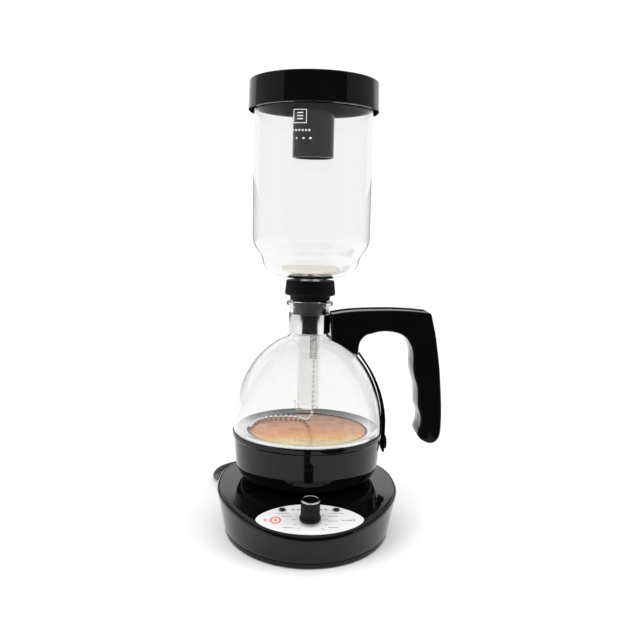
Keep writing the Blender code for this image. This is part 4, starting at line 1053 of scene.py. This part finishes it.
def make_filter():
    cloth_pad = turned("cloth_cover", [
        (0, 230.7), (23.6, 230.6), (24.7, 229.9), (24.6, 228.6), (23.6, 227.7), (19.5, 227.7), (19.5, 227),
        (23.8, 227, 0.6), (25.4, 227.9, 0.6), (26.1, 229.4, 0.8), (25.4, 230.9, 0.6), (23.7, 231.6, 1),
        (0, 231.8),
    ], 96)
    for vert in cloth_pad.data.vertices:
        reach = math.hypot(vert.co.x, vert.co.y) / MM
        if reach > 24.9:
            angle = math.atan2(vert.co.y, vert.co.x)
            vert.co.z += 0.25 * MM * math.sin(23 * angle) * min(1.0, reach - 24.9)
    finish_piece(cloth_pad, "chamber", CLOTH, ["filter_cloth"], 60.0)
    disc = turned("filter_plate", [(0, 228.2), (23.6, 228.2, 0.4), (23.9, 229.2), (23.3, 230.2, 0.4),
                                   (0, 230.3)], 96)
    finish_piece(disc, "chamber", FINE_STEEL, ["filter_disc"])
    rod = [(0, 0, 222.7), (0.5, 0, 214), (3.4, 0, 186), (4.0, 0, 174.4)]
    finish_piece(wire("spring_rod", spline_mm(rod, 24), 0.6 * MM), "chamber", FINE_STEEL, ["filter_rod"])
    turns, per_turn = 15, 18
    coils = []
    for i in range(turns * per_turn + 1):
        angle = 2 * math.pi * i / per_turn
        z = 173.6 - 24.0 * i / (turns * per_turn)
        coils.append(Vector((4.0 + 3.2 * math.cos(angle), 3.2 * math.sin(angle), z)) * MM)
    finish_piece(wire("pull_spring", coils, 0.45 * MM, 2), "chamber", FINE_STEEL, ["filter_spring"])


BEAD_RADIUS, LINK_RADIUS = 1.6, 0.5
CHAIN_X = 4.4


def bead_chain(name, guides, beads, node):
    """Steel balls on short links, joined in one mesh."""
    shape = bmesh.new()
    points = spline_mm(guides, beads * 2 + 1)
    for point in points[1::2]:
        bmesh.ops.create_uvsphere(shape, u_segments=16, v_segments=10, radius=BEAD_RADIUS * MM,
                                  matrix=Matrix.Translation(point))
    for first, second in zip(points, points[1:]):
        along = second - first
        turn = Vector((0, 0, 1)).rotation_difference(along).to_matrix().to_4x4()
        bmesh.ops.create_cone(shape, cap_ends=True, segments=8, depth=along.length,
                              radius1=LINK_RADIUS * MM, radius2=LINK_RADIUS * MM,
                              matrix=Matrix.Translation((first + second) / 2) @ turn)
    return finish_piece(from_bmesh(name, shape), "chamber", BEAD_STEEL, [node])


def make_chain():
    bead_chain("chain_hanging", [(CHAIN_X, 0, 149), (CHAIN_X, 0, 130), (CHAIN_X, 0, 104)], 10, "bead_chain")
    low = PLATE_TOP + BEAD_RADIUS + 0.15
    tail = bead_chain("chain_lying", [
        (CHAIN_X, 1.0, 101.0), (3.6, 6, 95), (2, 16, 89), (-2, 27, low), (-9, 34, low), (-20, 37, low),
        (-32, 35, low), (-42, 28.5, low), (-48, 19, low), (-51, 8, low), (-52, -2, low),
    ], 22, "chain_tail")
    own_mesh(tail)
    hook = [(4.2, 0, 102.6), (0, 0, 102.2), (-6, 0, 102.6), (-10, 0, 102.4), (-11.4, 0, 104.2),
            (-11.2, 0, 108.5), (-12.4, 0, 111)]
    finish_piece(wire("chain_end_hook", spline_mm(hook, 48), 0.6 * MM), "chamber", BEAD_STEEL,
                 ["chain_hook"])


# ---------------------------------------------------------------- lid

LID_BOTTOM, LID_TOP = 366.0, 391.0


def make_lid():
    cap = turned("lid_moulding", [
        (0, 387.5), (53.0, 387.5, 0.6), (53.9, LID_BOTTOM), (56.0, LID_BOTTOM, 0.3),
        (56.4, LID_BOTTOM + 0.5), (55.8, LID_TOP, 1.6), (48, LID_TOP, 0.3), (47.6, 390.5, 0.2),
        (46.4, 390.5, 0.2), (46, LID_TOP, 0.3), (0, LID_TOP),
    ], 176)
    finish_piece(cap, "lid", GLOSS_BLACK, ["lid_cap"])
    stem = turned("lid_tube", [
        (16, 326), (18, 326, 0.5), (18, 385.2, 0.5), (21, 385.2), (21, 387.2), (16, 387.2),
    ], 112)
    finish_piece(stem, "lid", GLOSS_BLACK, ["lid_stem"])


def finish_kept_nodes():
    """The model's own pieces that stay in view get these materials by their slot."""
    for entry in frame["record"]["subparts"]:
        node = frame["nodes"][entry["node"]]
        for slot in node.material_slots:
            slot.material = SLOT_FINISHES[entry["material_slot"]][0]


make_base()
make_label()
make_label_print()
make_knob()
make_lamp_lenses()
make_globe()
make_pot()
make_collar()
make_handle()
make_strap()
make_chamber()
make_chamber_print()
make_filter()
make_chain()
make_lid()
finish_kept_nodes()
